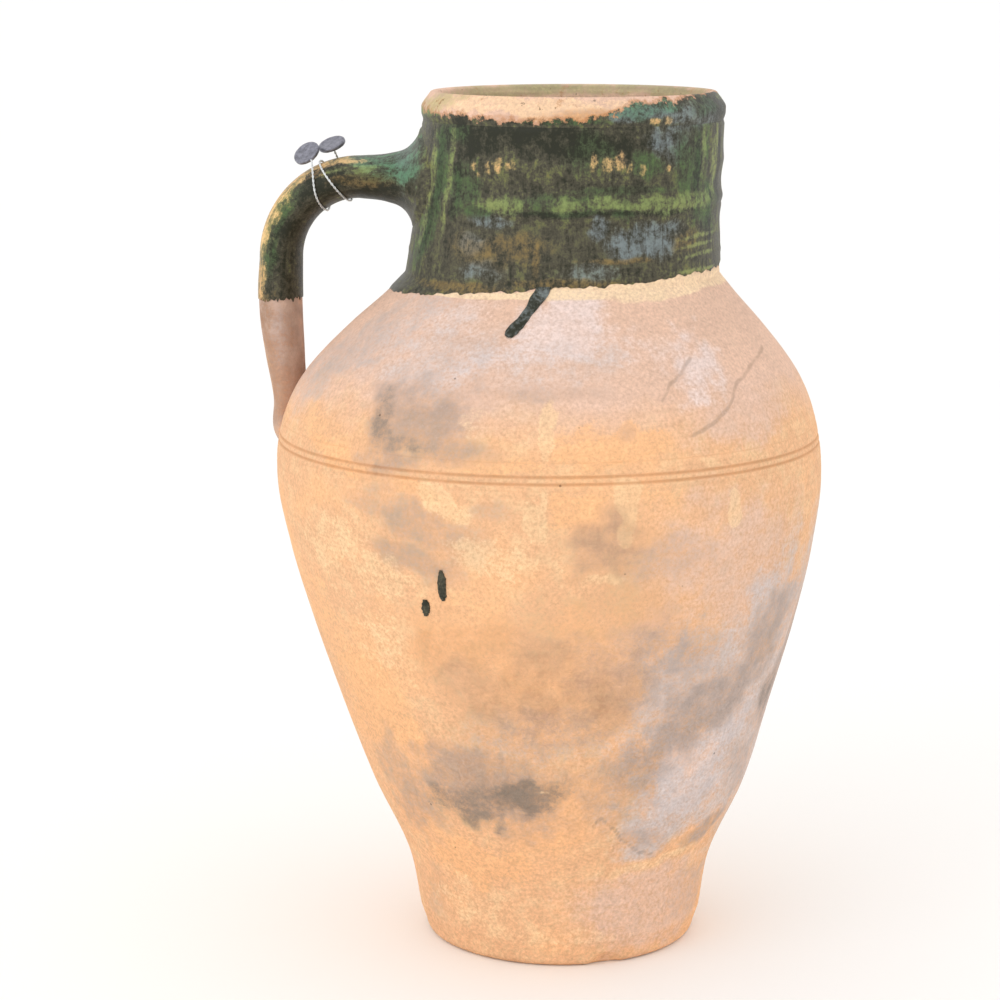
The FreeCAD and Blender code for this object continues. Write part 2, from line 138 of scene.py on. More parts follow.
# Incised lines on the belly: height, half width and depth
INCISED_LINES = (
    (311.2, 1.3, 0.75),
    (315.2, 1.3, 0.75),
    (307.4, 0.8, 0.2),
    (322.9, 0.8, 0.25),
    (326.6, 0.7, 0.14),
    (303.4, 0.7, 0.16),
    (299.8, 0.7, 0.12),
)
# Strength of the painted shade in the incised lines, for each millimetre of their depth
LINE_SHADE = 1.25

# Rings on the neck under the glaze: height, half width and height above the neck
NECK_RINGS = (
    (459.5, 3.0, 0.45),
    (455.2, 1.6, -0.4),
    (481.0, 4.0, 0.3),
    (427.0, 2.4, 0.3),
)

# Corners of the lip's section: out from the neck's radius, up from the lip's foot, and rounding
LIP_HEIGHT = RIM_TOP - LIP_FOOT
MOUTH_EDGE = MOUTH_RADIUS - NECK_RADIUS
LIP_CORNERS = (
    (MOUTH_EDGE, 0, 0),
    (0, 0, 0),
    (1.5, 4.5, 1.2),
    (1.5, 9.5, 1.5),
    (-0.6, 12.5, 1.5),
    (-4.6, LIP_HEIGHT, 1.4),
    (MOUTH_EDGE + 1.6, LIP_HEIGHT - 0.9, 1.5),
    (MOUTH_EDGE, 13, 1.0),
)
LIP_ROUND_STEPS = 6
LIP_STEP = 0.8
LIP_TURNS = 640

# How the thrown walls are spun: how far throwing lines run round for their height, and gaps that are closed
RILL_STRETCH = (0.06, 0.06, 1.0)
HOLLOW_DETAIL = 2.0
RILL_DETAIL = 1.0
CLOSED_GAP = 0.002

# Handle
BEND_REACH = 124
BEND_HEIGHT = 417.5
BEND_RADIUS = 50
STRAP_WIDTH = 38
STRAP_THICKNESS = 24.5
ROOT_RUN = 58
ROOT_WIDTH = 92
ROOT_HEIGHT = 70
ROOT_DROP = 3.5
ROOT_FILLET = 13
ROOT_SETTLE = 40
FILLET_SHARE = 0.55
LIMB_DROP = 119.5
LIMB_TUCK = 8
ROOT_STEPS = 60
BEND_STEPS = 64
LIMB_STEPS = 90
STRAP_FACES = 96

# Share of the root's run out from the bend, and share of the root's flare there
ROOT_SHARES = ((0.0, 0.0), (0.3, 0.08), (0.52, 0.27), (0.68, 0.6), (0.84, 0.88), (1.0, 1.0))

# Share of the limb's drop, and shares of its tuck, thickness and width there
LIMB_SHARES = (
    (0.0, 0.0, 1.0, 1.0),
    (0.15, -0.1, 1.05, 0.99),
    (0.3, -0.06, 1.05, 0.97),
    (0.5, 0.2, 0.95, 0.93),
    (0.72, 0.5, 0.76, 0.92),
    (0.9, 0.3, 0.58, 0.88),
    (1.0, 0.9, 0.4, 0.7),
)

# Glaze coats. The neck's coat rises from its edge over the lap rows.
GLAZE = 0.6
GLAZE_SINK = 1.2
GLAZE_SETTLE = 0.3
GLAZE_TOP = 503.6
COAT_FACES = 720
COAT_ROWS = 84
COAT_LAP_ROWS = 2
COAT_INNER_EVERY = 6
LIP_EDGE_SOFTNESS = 9
LIP_CREST = 4
HANDLE_GLAZE_END = 137
DIP_REACH = 14
LINING = 0.6
LINING_ROWS = 40
LINING_NECK_ROWS = 12
LINING_TURNS = 256

# Ragged edges: size and seed of the neck's and of the handle's, and the noise that both follow
NECK_EDGE_WAVE, NECK_EDGE_SEED = 1.8, 4.0
DIP_WAVE, DIP_SEED = 3.0, 2.0
FRAY_LOOP = 12
FINE_FRAY_SCALE = 3.1
FINE_FRAY_SHARE = 0.5

# Angle and height of the neck glaze's lower edge, and of its upper edge on the lip
GLAZE_EDGE = (
    (-180, 401), (-151, 403.5), (-123, 407), (-100, 410), (-85, 412.5), (-70, 413.5), (-54, 414.5),
    (-30, 417), (0, 418), (60, 414), (120, 409), (150, 404), (180, 401),
)
LIP_EDGE = (
    (-180, 512), (-152, 510), (-140, 508.5), (-132, 509.5), (-120, 507.5), (-100, 507), (-85, 507.5),
    (-72, 508.5), (-67, 512), (-60, 516), (-50, 517), (-42, 517), (-34, 519), (-20, 522), (0, 521),
    (40, 514), (100, 509), (140, 508), (180, 508),
)

# Wire and seals
WIRE_CLEARANCE = 0.6
WIRE_RADIUS = 0.7
WIRE_CROSSING = 112.5
WIRE_SPLAY = 12.5
WIRE_STEPS = 40
PHASE_STEP = 0.001
WIRE_QUARTERS = (1, 2, 3, 4, 5, 6, 7)
BACK_QUARTER = 7.5
FRONT_WIRE_SHIFT = 2.2
STRAND_STEP = 0.4
STRAND_FACES = 10
STRAND_REACH_SHARE = 0.92
SEAL_RADIUS = 8.75
SEAL_THICKNESS = 3
SEAL_FACES = 72
SEAL_UNEVEN_SHARE = 0.045
SEAL_LUMPS = 1.4
SEAL_DENT = 0.16
SEAL_DENT_SCALE = 0.35

# Section of a seal: radius, face that its height starts from (-1 back, 0 middle, 1 front), and that height
SEAL_SECTION = (
    (0.3, -1, 0), (4, -1, 0), (7, -1, 0), (8.1, -1, 0.15), (8.6, -1, 0.6), (8.7, 0, -0.3), (8.7, 0, 0.5),
    (8.5, 1, -0.5), (8.0, 1, -0.1), (7.3, 1, 0), (6.6, 1, -0.08), (6.25, 1, -0.35), (5.6, 1, -0.42),
    (3, 1, -0.4), (0.3, 1, -0.38),
)

# Seals: angle round the handle's bend, tilt, height over the glaze, place along Y, and seed of the dents
BACK_SEAL_ANGLE = 105.5
SEAL_ROWS = {
    "front_seal": (117, 38, 9, -2.5, 1.0),
    "back_seal": (BACK_SEAL_ANGLE, 23, 8.7, 7, 9.0),
}

# Stains of the fired clay that the photo shows, by kind: pixels across and down, half width and half height
# in pixels, tilt and strength
CLAY_SEEN = {
    "rose": (
        (745, 415, 60, 26, 8, 0.7), (735, 560, 80, 66, 0, 0.75), (650, 645, 80, 40, 15, 0.5),
        (470, 400, 80, 26, 0, 0.5), (560, 400, 90, 20, 0, 0.5), (655, 900, 74, 50, 0, 0.8),
    ),
    "flush": (
        (325, 425, 42, 20, -20, 0.5), (340, 455, 50, 12, -12, 0.75), (615, 447, 66, 20, 3, 0.95),
        (500, 466, 60, 9, 0, 0.6), (415, 488, 30, 8, -12, 0.8), (575, 512, 34, 28, 0, 0.9),
        (665, 520, 56, 30, 0, 0.5), (325, 620, 22, 60, 20, 0.5), (560, 690, 90, 30, 0, 0.5),
        (470, 606, 40, 18, 0, 0.45), (370, 690, 36, 52, 25, 0.85), (405, 732, 40, 24, -30, 0.75),
        (560, 822, 50, 26, 20, 0.9), (480, 864, 60, 24, 0, 0.9), (585, 795, 20, 22, 0, 0.75),
    ),
    "pale": (
        (565, 322, 50, 26, 20, 0.95), (500, 350, 60, 20, 25, 0.5), (430, 325, 60, 28, 20, 0.4),
        (697, 372, 32, 34, 15, 0.75), (640, 345, 40, 22, 0, 0.4), (690, 775, 46, 44, 30, 0.95),
        (728, 738, 30, 24, 40, 0.7),
    ),
    "cloud": (
        (705, 680, 100, 50, 38, 0.85), (770, 610, 40, 44, 60, 0.8), (742, 700, 34, 44, 45, 0.9),
        (735, 765, 20, 64, 0, 0.95), (765, 690, 20, 64, 0, 0.95), (790, 610, 16, 50, 0, 0.8),
        (672, 808, 50, 40, 20, 0.9), (360, 345, 66, 40, 35, 0.45), (708, 800, 18, 34, 30, 0.85),
        (540, 735, 80, 36, 0, 0.3), (445, 352, 70, 30, 10, 0.55), (560, 360, 90, 26, 10, 0.4),
    ),
    "bloom": (
        (547, 435, 9, 36, 0, 0.75), (445, 500, 30, 14, -28, 0.95), (532, 524, 13, 25, 18, 0.95),
        (543, 500, 6, 12, 0, 0.7), (630, 505, 14, 26, 6, 0.95), (626, 537, 10, 12, 20, 0.7),
        (736, 508, 8, 17, -6, 0.95), (330, 540, 40, 54, 10, 0.55), (385, 645, 46, 50, 10, 0.5),
        (500, 560, 64, 22, -10, 0.55), (480, 642, 60, 30, 0, 0.35), (560, 630, 40, 26, 0, 0.3),
        (378, 580, 40, 26, 0, 0.55), (602, 580, 26, 8, 0, 0.6), (470, 900, 46, 30, 0, 0.5),
        (650, 862, 56, 9, 8, 0.6), (560, 940, 100, 14, 0, 0.5), (470, 420, 22, 16, 0, 0.45),
        (546, 793, 7, 3, 0, 0.6),
    ),
    "smoke": (
        (410, 424, 46, 46, 0, 0.85), (432, 402, 50, 30, 0, 0.5), (389, 402, 14, 32, 0, 0.7),
        (440, 442, 52, 15, -8, 0.65), (545, 396, 76, 9, 0, 0.35), (360, 345, 66, 40, 35, 0.3),
        (628, 432, 10, 8, 0, 0.4), (420, 522, 66, 26, -22, 0.6), (412, 560, 52, 19, -10, 0.6),
        (368, 502, 30, 12, -10, 0.45), (490, 512, 22, 12, 0, 0.4), (606, 545, 44, 30, 10, 0.55),
        (648, 560, 60, 30, 0, 0.35), (480, 685, 46, 22, -20, 0.35), (650, 672, 80, 44, 20, 0.55),
        (540, 722, 90, 50, 0, 0.42), (565, 660, 70, 30, 0, 0.35), (695, 722, 110, 40, 38, 0.85),
        (655, 748, 62, 30, 40, 0.75), (790, 645, 14, 60, 0, 0.75), (764, 705, 14, 34, 0, 0.65),
        (752, 660, 66, 36, 45, 0.7), (640, 772, 20, 30, 0, 0.55), (706, 826, 20, 12, 15, 0.7),
        (738, 770, 12, 30, 0, 0.4), (645, 836, 26, 10, -8, 0.5), (490, 790, 78, 44, -10, 0.9),
        (415, 800, 34, 44, 20, 0.65), (392, 760, 24, 34, 20, 0.5), (438, 890, 14, 30, 0, 0.35),
        (690, 885, 20, 40, 0, 0.3),
    ),
    "char": (
        (526, 798, 44, 16, 0, 0.95), (470, 808, 38, 28, 0, 0.6), (768, 690, 10, 22, 0, 0.5),
        (382, 430, 9, 26, 0, 0.45), (384, 416, 9, 30, 8, 0.55), (400, 446, 30, 8, -6, 0.4),
    ),
    "slip": ((600, 291, 70, 8, 3, 1.0), (682, 283, 60, 11, 5, 1.0), (490, 296, 70, 3, 2, 1.0)),
    "soil": (
        (560, 690, 90, 60, 0, 0.5), (608, 546, 52, 34, 0, 0.4), (600, 620, 90, 40, 0, 0.35),
        (485, 662, 80, 50, 0, 0.5),
    ),
}

# Colours of the neck's glaze and of the lip, in the same columns
NECK_SEEN = {
    "umber": ((470, 248, 60, 30, 0, 0.8), (555, 252, 60, 28, 0, 0.65), (640, 255, 60, 24, 0, 0.6)),
    "green": (
        (440, 175, 10, 45, 0, 0.8), (424, 238, 9, 34, -15, 0.85), (465, 188, 16, 26, 0, 0.85),
        (478, 212, 16, 8, 0, 0.85), (455, 137, 14, 10, 0, 0.6), (642, 166, 20, 14, 0, 0.8),
        (622, 216, 12, 9, 0, 0.6), (706, 206, 14, 22, 0, 0.75), (630, 191, 60, 5, 0, 0.5),
        (585, 155, 22, 26, 0, 0.4), (590, 206, 130, 10, 0, 0.6), (694, 165, 18, 40, 0, 0.9),
    ),
    # The dark rows at pixel heights 212 and 215, under the yellow-green band, are partly thick glaze in the
    # ring's groove and partly painted shadow there.
    "soot": (
        (530, 143, 110, 20, 0, 0.9), (560, 191, 80, 9, 0, 0.3), (461, 124, 8, 14, 0, 0.9),
        (630, 141, 40, 10, 0, 0.65), (575, 215, 90, 3, 0, 0.9), (662, 212, 30, 3, 0, 0.9),
        (440, 170, 3, 50, 0, 0.8), (459, 165, 3.5, 40, 0, 0.7), (430, 220, 3, 40, -12, 0.8),
        (450, 240, 4, 40, 0, 0.6), (698, 170, 3, 44, 0, 0.7), (708, 215, 3, 40, 0, 0.6),
        (717, 170, 2.5, 44, 0, 0.8),
    ),
    # The first five rows, the yellow-green band on the neck's ring, are partly thin glaze on its crest and
    # partly painted highlight there.
    "lime": (
        (500, 206, 24, 8, 0, 0.7), (566, 206, 18, 7, 0, 0.6), (606, 205, 20, 7, 0, 0.7),
        (650, 205, 34, 9, 0, 0.75), (692, 202, 28, 9, 0, 0.7), (433, 170, 2.5, 40, 0, 0.7),
        (447, 195, 3, 44, -4, 0.65), (453, 150, 3, 28, 0, 0.6), (424, 225, 2.5, 30, -14, 0.7),
        (712, 175, 2.5, 34, 0, 0.7), (703, 150, 3, 24, 0, 0.65), (716, 140, 2, 20, 0, 0.6),
        (700, 235, 18, 2, 3, 0.85), (700, 244, 18, 2, 3, 0.85), (700, 254, 18, 2, 3, 0.85),
        (700, 269, 20, 2, 0, 0.85),
    ),
    "slate": (
        (598, 232, 9, 12, 0, 1.0), (641, 246, 34, 14, 0, 0.95), (662, 228, 24, 10, 0, 0.75),
        (475, 245, 12, 12, 0, 0.55), (490, 222, 20, 6, 0, 0.6), (480, 271, 24, 9, 0, 0.45),
        (592, 275, 30, 9, 0, 0.42), (672, 138, 22, 24, 0, 0.55), (690, 120, 24, 10, 0, 0.5),
    ),
    "ochre": (
        (500, 252, 50, 18, 0, 0.55), (536, 265, 5, 24, 0, 0.7), (560, 285, 60, 5, 0, 0.7),
        (460, 287, 50, 5, 0, 0.8), (620, 262, 40, 3, 0, 0.65), (685, 240, 12, 14, 0, 0.5),
    ),
    # Cream and orange spots along a ridge of the neck: partly worn glaze, partly painted highlight.
    "glint": (
        (488, 168, 3, 7, 8, 0.7), (497, 166, 5, 7, -6, 0.65), (511, 169, 5, 5, 0, 0.5),
        (593, 163, 3, 10, 0, 0.65), (605, 166, 6, 7, 20, 0.65), (617, 161, 6, 9, -8, 0.7),
        (628, 168, 4, 6, 0, 0.55), (641, 171, 4, 6, 0, 0.45), (668, 168, 3, 3, 0, 0.8),
        (473, 166, 3, 4, 0, 0.8), (480, 174, 2.5, 3, 0, 0.7),
    ),
}
LIP_SEEN = {
    "teal": ((642, 107, 30, 10, 4, 1.0), (668, 104, 16, 6, 0, 0.8)),
    "slate": (
        (624, 115, 14, 7, 0, 1.0), (655, 112, 22, 6, 0, 0.9), (680, 112, 18, 10, 0, 0.6),
        (700, 115, 26, 16, 0, 0.4),
    ),
    "glint": ((655, 121, 5, 3, 0, 0.8), (668, 119, 5, 4, 0, 0.8)),
    "soil": ((590, 116, 46, 8, 2, 0.95), (520, 120, 50, 3, 0, 0.6)),
    "lime": ((437, 102, 12, 14, 0, 0.9), (450, 97, 16, 4, 0, 0.6)),
    "soot": ((461, 124, 8, 10, 0, 0.9), (540, 122, 60, 3, 0, 0.6)),
    "green": ((560, 122, 50, 4, 0, 0.6), (705, 105, 14, 10, 0, 0.6)),
}

# Hairline cracks, as pixels of the photo
CRACKS_SEEN = (
    ((762, 345), (748, 372), (738, 385), (733, 402), (722, 415), (705, 430), (690, 436)),
    ((690, 356), (682, 372), (668, 384), (662, 402)),
    ((597, 824), (603, 818), (612, 828), (622, 841), (640, 850), (660, 853)),
)
CRACK_HALF_WIDTH = 1.8
CRACK_WANDER = 2.2

# Stains out of the photo's sight, by kind: angle, height, half width, half height, tilt and strength
CLAY_UNSEEN = {
    "flush": (
        (60, 250, 60, 40, 0, 0.7), (110, 120, 50, 40, 10, 0.7), (50, 90, 40, 30, 0, 0.6),
        (140, 330, 50, 16, 0, 0.7),
    ),
    "rose": ((40, 300, 70, 50, 0, 0.7),),
    "bloom": ((90, 300, 40, 18, 0, 0.8), (150, 220, 40, 30, 0, 0.6), (70, 60, 50, 20, 0, 0.6)),
    "smoke": ((14, 180, 44, 56, 10, 0.7), (130, 300, 40, 22, 0, 0.6), (100, 345, 30, 18, 0, 0.5)),
    "cloud": ((6, 150, 80, 80, 0, 0.95), (6, 225, 50, 50, 0, 0.8), (95, 190, 46, 40, 0, 0.7)),
    "pale": ((80, 380, 30, 18, 10, 0.8), (150, 372, 24, 16, 0, 0.6)),
    "char": ((75, 110, 22, 12, 10, 0.7),),
    "slip": ((10, 412, 60, 5, 0, 1.0), (110, 407, 60, 2.5, 0, 0.8)),
}
NECK_UNSEEN = {
    "umber": ((20, 430, 60, 16, 0, 0.7), (120, 428, 60, 16, 0, 0.7)),
    "green": ((60, 470, 16, 20, 0, 0.8), (130, 450, 14, 26, 0, 0.8), (155, 470, 10, 30, 0, 0.8)),
    # On the ring's crest at 459 and in its groove at 455: yellow-green that is partly thin glaze and partly
    # painted highlight, and dark that is partly thick glaze and partly painted shadow.
    "lime": ((30, 459, 20, 3, 0, 0.9), (60, 459, 16, 2.4, 0, 0.8), (105, 459, 24, 2.8, 0, 0.9)),
    "soot": ((70, 455, 60, 1.6, 0, 0.9), (90, 490, 50, 8, 0, 0.6)),
    "slate": ((100, 440, 30, 12, 0, 0.7), (10, 485, 20, 14, 0, 0.7)),
    "ochre": ((60, 418, 50, 4, 0, 0.7),),
    "glint": ((85, 482, 8, 4, 0, 0.8), (20, 470, 6, 3, 0, 0.7)),
}
LIP_UNSEEN = {
    "green": ((90, 512, 90, 12, 0, 0.7), (-165, 510, 24, 6, 0, 0.6)),
    "lime": ((-160, 512, 24, 6, 0, 0.7), (60, 518, 90, 4, 0, 0.9), (130, 518, 60, 4, 0, 0.9)),
    "bloom": ((-110, 514, 90, 9, 0, 0.7),),
    "flush": ((-75, 509, 22, 4, 0, 0.7),),
    "slip": ((90, 516, 140, 8, 0, 0.45),),
    "soot": ((-14, 512, 24, 10, 0, 0.6),),
    "smoke": ((60, 519, 40, 2.5, 0, 0.8),),
    "char": ((110, 519, 30, 2, 0, 0.7),),
    "rose": ((95, 514, 90, 8, 0, 0.9),),
}

# Stains of the handle, with its painted highlight and shade, by kind: place along the strap from the neck,
# angle round it from its outer side, half length, half width and strength. The front of the strap is at 90.
HANDLE_STAINS = {
    "teal": ((6, 45, 20, 10, 0.9), (26, 32, 16, 6, 0.8)),
    "green": ((16, 70, 22, 5, 0.8), (88, 68, 20, 5, 0.9), (112, 76, 16, 5, 0.7), (70, 270, 60, 9, 0.7)),
    "slate": ((2, 35, 6, 14, 0.6),),
    "ochre": ((26, 88, 22, 4, 0.9), (104, 38, 34, 6, 0.9), (114, 28, 20, 6, 0.9), (135, 40, 5, 12, 0.8)),
    "lime": ((34, 62, 18, 2.6, 0.9), (92, 44, 24, 4, 0.9)),
    # The cream band along the strap's outer edge, on the side towards the key light, is partly worn glaze and
    # partly painted highlight.
    "glint": (
        (46, 36, 16, 2.4, 0.8), (66, 18, 24, 8, 0.85), (98, 22, 30, 10, 0.8), (84, 330, 40, 6, 0.7),
        (124, 44, 12, 8, 0.85),
    ),
    # The rows at 125 to 128 round the strap, on its inner side towards the neck, are painted shade.
    "soot": (
        (20, 125, 20, 8, 0.9), (52, 90, 18, 9, 1.0), (80, 128, 40, 8, 0.5), (115, 128, 30, 8, 0.5),
        (100, 98, 24, 4, 0.7),
    ),
    "umber": ((132, 90, 8, 12, 0.5),),
    "rose": ((180, 60, 60, 30, 0.9), (180, 240, 60, 30, 0.9)),
    "pale": ((160, 100, 24, 5, 0.85),),
    "smoke": (
        (175, 90, 60, 22, 0.95), (175, 270, 60, 22, 0.7), (185, 135, 44, 7, 0.75), (200, 80, 26, 5, 0.5),
    ),
    "char": ((148, 62, 14, 6, 0.5),),
    "soil": ((172, 75, 40, 16, 0.75),),
    "bloom": ((182, 30, 30, 6, 0.5),),
}

# Runs of glaze: angle and height down the middle of each, with its half width
RUN_PATHS = {
    "glaze_run": (
        (-88.6, 413.5, 4.6), (-89.8, 407.5, 4.4), (-91.6, 402, 3.6), (-93.2, 397, 3.4),
        (-94.6, 392.3, 3.9), (-95.2, 389.2, 3.6), (-95.5, 387.2, 1.8),
    ),
    "upper_splash": (
        (-104.0, 259.4, 1.0), (-104.1, 255, 2.3), (-104.3, 249, 2.6), (-104.4, 243.5, 2.1),
        (-104.4, 241, 0.8),
    ),
    "lower_splash": (
        (-108.6, 240.4, 1.4), (-108.7, 237.5, 2.5), (-108.9, 233.5, 2.4), (-109.0, 230.4, 1.0),
    ),
}
RUN_THICKNESS = 0.85
RUN_SINK = 1.4
RUN_SETTLE = 0.25
RUN_DOME_POWER = 0.7
RUN_WAVE = 0.9
RUN_WAVES = 9
RUN_FACES = 28
RUN_ROWS = 48
RUN_SOOT = 0.5
RUN_SLATES = {"glaze_run": 0.45, "upper_splash": 0.0, "lower_splash": 0.0}

# Soft edge of a stain: how far its middle is past full, and how steeply it falls
STAIN_CORE = 1.7
STAIN_FALL = 1.2

# Broad and fine spans of the noise that stains drift along, its octaves, how far stains drift as shares of
# their size, and the largest size that counts
DRIFT_SEED = 2
DRIFT_SPANS = (42, 11)
DRIFT_OCTAVES = 3
DRIFT_SHARES = (0.6, 0.45)
WIDEST_DRIFT = 22
STEADY_SHARES = {"slip": 0.3}

# The photo's frame in pixels, and the camera that was fitted to it
PHOTO_SIZE = 1000
SENSOR = 36
LENS = 101.1
CAMERA_DISTANCE = 1694
CAMERA_HEIGHT = 600
CAMERA_AZIMUTH = 8
CAMERA_PAN = 1.27
CAMERA_PITCH = 10.99
SIGHT_START, SIGHT_END, SIGHT_STEP = 1400, 2000, 0.25
LEAST_FACING = 0.4

# Patterns of each surface: width of the largest features, detail, roughness and distortion.
# The wire's spangle and the clay's grain are drawn coarser than they are, so that they show.
CLAY_PATTERNS = {
    "blotch": (55, 6, 0.62, 0),
    "fray": (13, 8, 0.72, 0.2),
    "grain": (2, 4, 0.7, 0),
    "crust": (6, 4, 0.65, 2),
}
THROWING_PATTERN = {"throwing": (3.5, 4, 0.65, 0)}
CLOT_PATTERNS = {"clots": (9, 8, 0.75, 0.4), "fleck": (2.2, 5, 0.75, 0)}
STREAK_PATTERN = {"streaks": (3.2, 6, 0.7, 0)}
RIM_PATTERNS = {"fray": (7, 6, 0.7, 0), "pits": (3.5, 3, 0.6, 0)}
LEAD_PATTERN = {"fleck": (2.5, 5, 0.7, 0)}
WIRE_PATTERN = {"fleck": (1.2, 2, 0.5, 0)}
FLOOR_PATTERN = {"fleck": (4, 2, 0.5, 0)}
SPECK_SPACING = 26
PATTERN_MIDDLE = 0.5
THROWING_STRETCH = (0.04, 0.04, 1.0)
STREAK_STRETCH = 0.14

# Ranges: a value's low and high, and what these become
CLAY_RANGES = {
    "salts": (0.47, 0.62, 0, 0.5),
    "flash": (0.48, 0.62, 0, 0.55),
    "pink": (365 * MM, 395 * MM, 0, 0.85),
    "broken": (0.3, 0.6, 0.6, 1),
    "worn": (60 * MM, 160 * MM, 1, 0.35),
    "dust": (0.3, 0.7, 0.81, 1.15),
    "lines": (0.3, 0.7, 0.955, 1.035),
    "patch": (0.3, 0.7, 0.94, 1.04),
    "speck": (0.02, 0.035, 0.45, 1),
}
GLAZE_RANGES = {
    "broken": (0.36, 0.6, 0.12, 1),
    "tone": (0, 1, 0.3, 1.6),
    "roughness": (0.3, 0.7, 0.34, 0.6),
}
RIM_RANGES = {
    "pits": (0.66, 0.7, 0, 0.6),
    "rust": (1.3, 1.52, 0, 0.6),
    "glaze": (1.56, 1.68, 0, 1),
}
STAIN_RANGE = (0, 0.25, 0, 1)
HALF_MASK = 0.5
LEAD_RANGE = (0.3, 0.7, 0.6, 1.35)
WIRE_RANGE = (0, 1, 0.75, 1.15)
FLOOR_RANGE = (0, 1, 0.99, 1.0)

# Layers of stain, and of painted highlight and shade, from the lowest up: kind, softness of its edge, how
# much the edge frays, and strength
CLAY_LAYERS = (
    ("flush", 0.28, 0.9, 0.85),
    ("rose", 0.4, 0.7, 0.85),
    ("pale", 0.34, 0.9, 0.85),
    ("cloud", 0.44, 0.9, 0.85),
    ("smoke", 0.46, 1.0, 0.74),
    ("char", 0.42, 1.0, 0.66),
    ("bloom", 0.14, 0.7, 0.6),
    ("slip", 0.16, 0.3, 0.95),
    ("lime", 0.4, 1.4, 0.5),
    ("soil", 0.45, 1.3, 0.5),
    ("fissure", 0.25, 1.2, 0.38),
)
GLAZE_LAYERS = (
    ("umber", 0.4, 0.8, 0.7),
    ("slate", 0.4, 1.4, 0.72),
    ("ochre", 0.4, 1.1, 0.8),
    ("green", 0.4, 1.1, 0.72),
    ("teal", 0.4, 1.3, 0.75),
    ("lime", 0.4, 1.4, 0.5),
    ("glint", 0.36, 2.0, 0.65),
)

# Shares of the other patterns in the clay's ragged edges and relief, and in the glaze's edges and thickness
CLAY_FRAY_SHARES = {"grain": 0.85, "throwing": 0.3}
CLAY_RELIEF_SHARES = {"throwing": 0.25, "fray": 0.7, "wrinkle": 1.4}
GLAZE_FRAY_SHARES = {"fleck": 0.7, "streaks": 0.7}
GLAZE_SHARES = {"fleck": 0.75, "streaks": 0.55}
RIM_FRAY = 2.2

# How far blotches lift the pink shoulder and the worn foot, and the crust's middle and tint
PINK_LIFT = 70
WORN_LIFT = -160
CRUST_MIDDLE = 0.52
CRUST_TINT = 0.55

# How far masks shift the glaze towards thin or thick, which also lightens painted highlight and darkens
# painted shade, and where its tones change from thick to thin
GLAZE_MIDDLE = 0.64
GLAZE_SHIFTS = {"lime": 0.18, "glint": 0.2, "soot": -0.22}
GLAZE_STOPS = (0.0, 0.3, 0.52, 0.68, 0.82, 0.96)
GREEN_TONES = ("soot", "olive", "umber", "moss", "ochre", "lime")
LINING_TONES = ("ochre", "moss", "lining", "lining", "bloom", "slip")

# Shader values of each material, and depth and strength of its relief
CERAMIC_IOR = 1.5
CLAY_ROUGHNESS = 0.88
CLAY_SPECULAR, CLAY_DEPTH = 0.2, 0.7
GREEN_SPECULAR, LINING_SPECULAR, GLAZE_DEPTH = 0.25, 0.4, 0.4
RIM_SPECULAR, RIM_DEPTH = 0.3, 0.5
CERAMIC_RELIEF, LEAD_RELIEF, LEAD_DEPTH = 0.6, 0.5, 0.3
LEAD_SHADER = {"Metallic": 0.85, "Roughness": 0.5}
WIRE_SHADER = {"Metallic": 0.6, "Roughness": 0.38}
FLOOR_SHADER = {"Roughness": 0.9}

# Sharpest fold that is still shaded smooth
CRISP_ANGLE = 38

# Stage
FLOOR_REACH = 200000
KEY_WIDTH = 1600
KEY_PLACE = (-1100, -1700, 1500)
KEY_AIM = (0, 0, 280)


def linear(code):
    """Turn an sRGB hex colour into linear RGBA."""
    parts = [int(code[place:place + 2], 16) / 255 for place in (1, 3, 5)]
    return [part / 12.92 if part <= 0.04045 else ((part + 0.055) / 1.055) ** 2.4 for part in parts] + [1.0]


def shade(name, description, code):
    return FloatVectorProperty(
        name=name, description=description, default=linear(code), subtype="COLOR", size=4,
    )


def length(name, description, default):
    return FloatProperty(name=name, description=description, default=default, unit="LENGTH", precision=5)


def bearing(name, description, degrees):
    return FloatProperty(name=name, description=description, default=math.radians(degrees), subtype="ANGLE")


class JarForm(bpy.types.PropertyGroup):
    """Sizes of the hand-made surface that a user would change."""
    turns: IntProperty(name="Turns", description="Faces round the jar", default=512, min=64)
    hand_relief: length("Hand relief", "Depth of the slow unevenness left by the hands", 0.9 * MM)
    hand_span: length("Hand span", "Width of one hollow or swelling", 70 * MM)
    rill_depth: length("Rill depth", "Depth of the fine throwing lines", 0.22 * MM)
    rill_spacing: length("Rill spacing", "Height of one throwing line", 3.2 * MM)
    strand_radius: length("Strand radius", "Radius of each of the wire's two strands", 0.36 * MM)
    strand_lay: length("Strand lay", "Length of one full twist of the strands", 5.5 * MM)
    seed: IntProperty(name="Seed", description="Picks another hand", default=7)


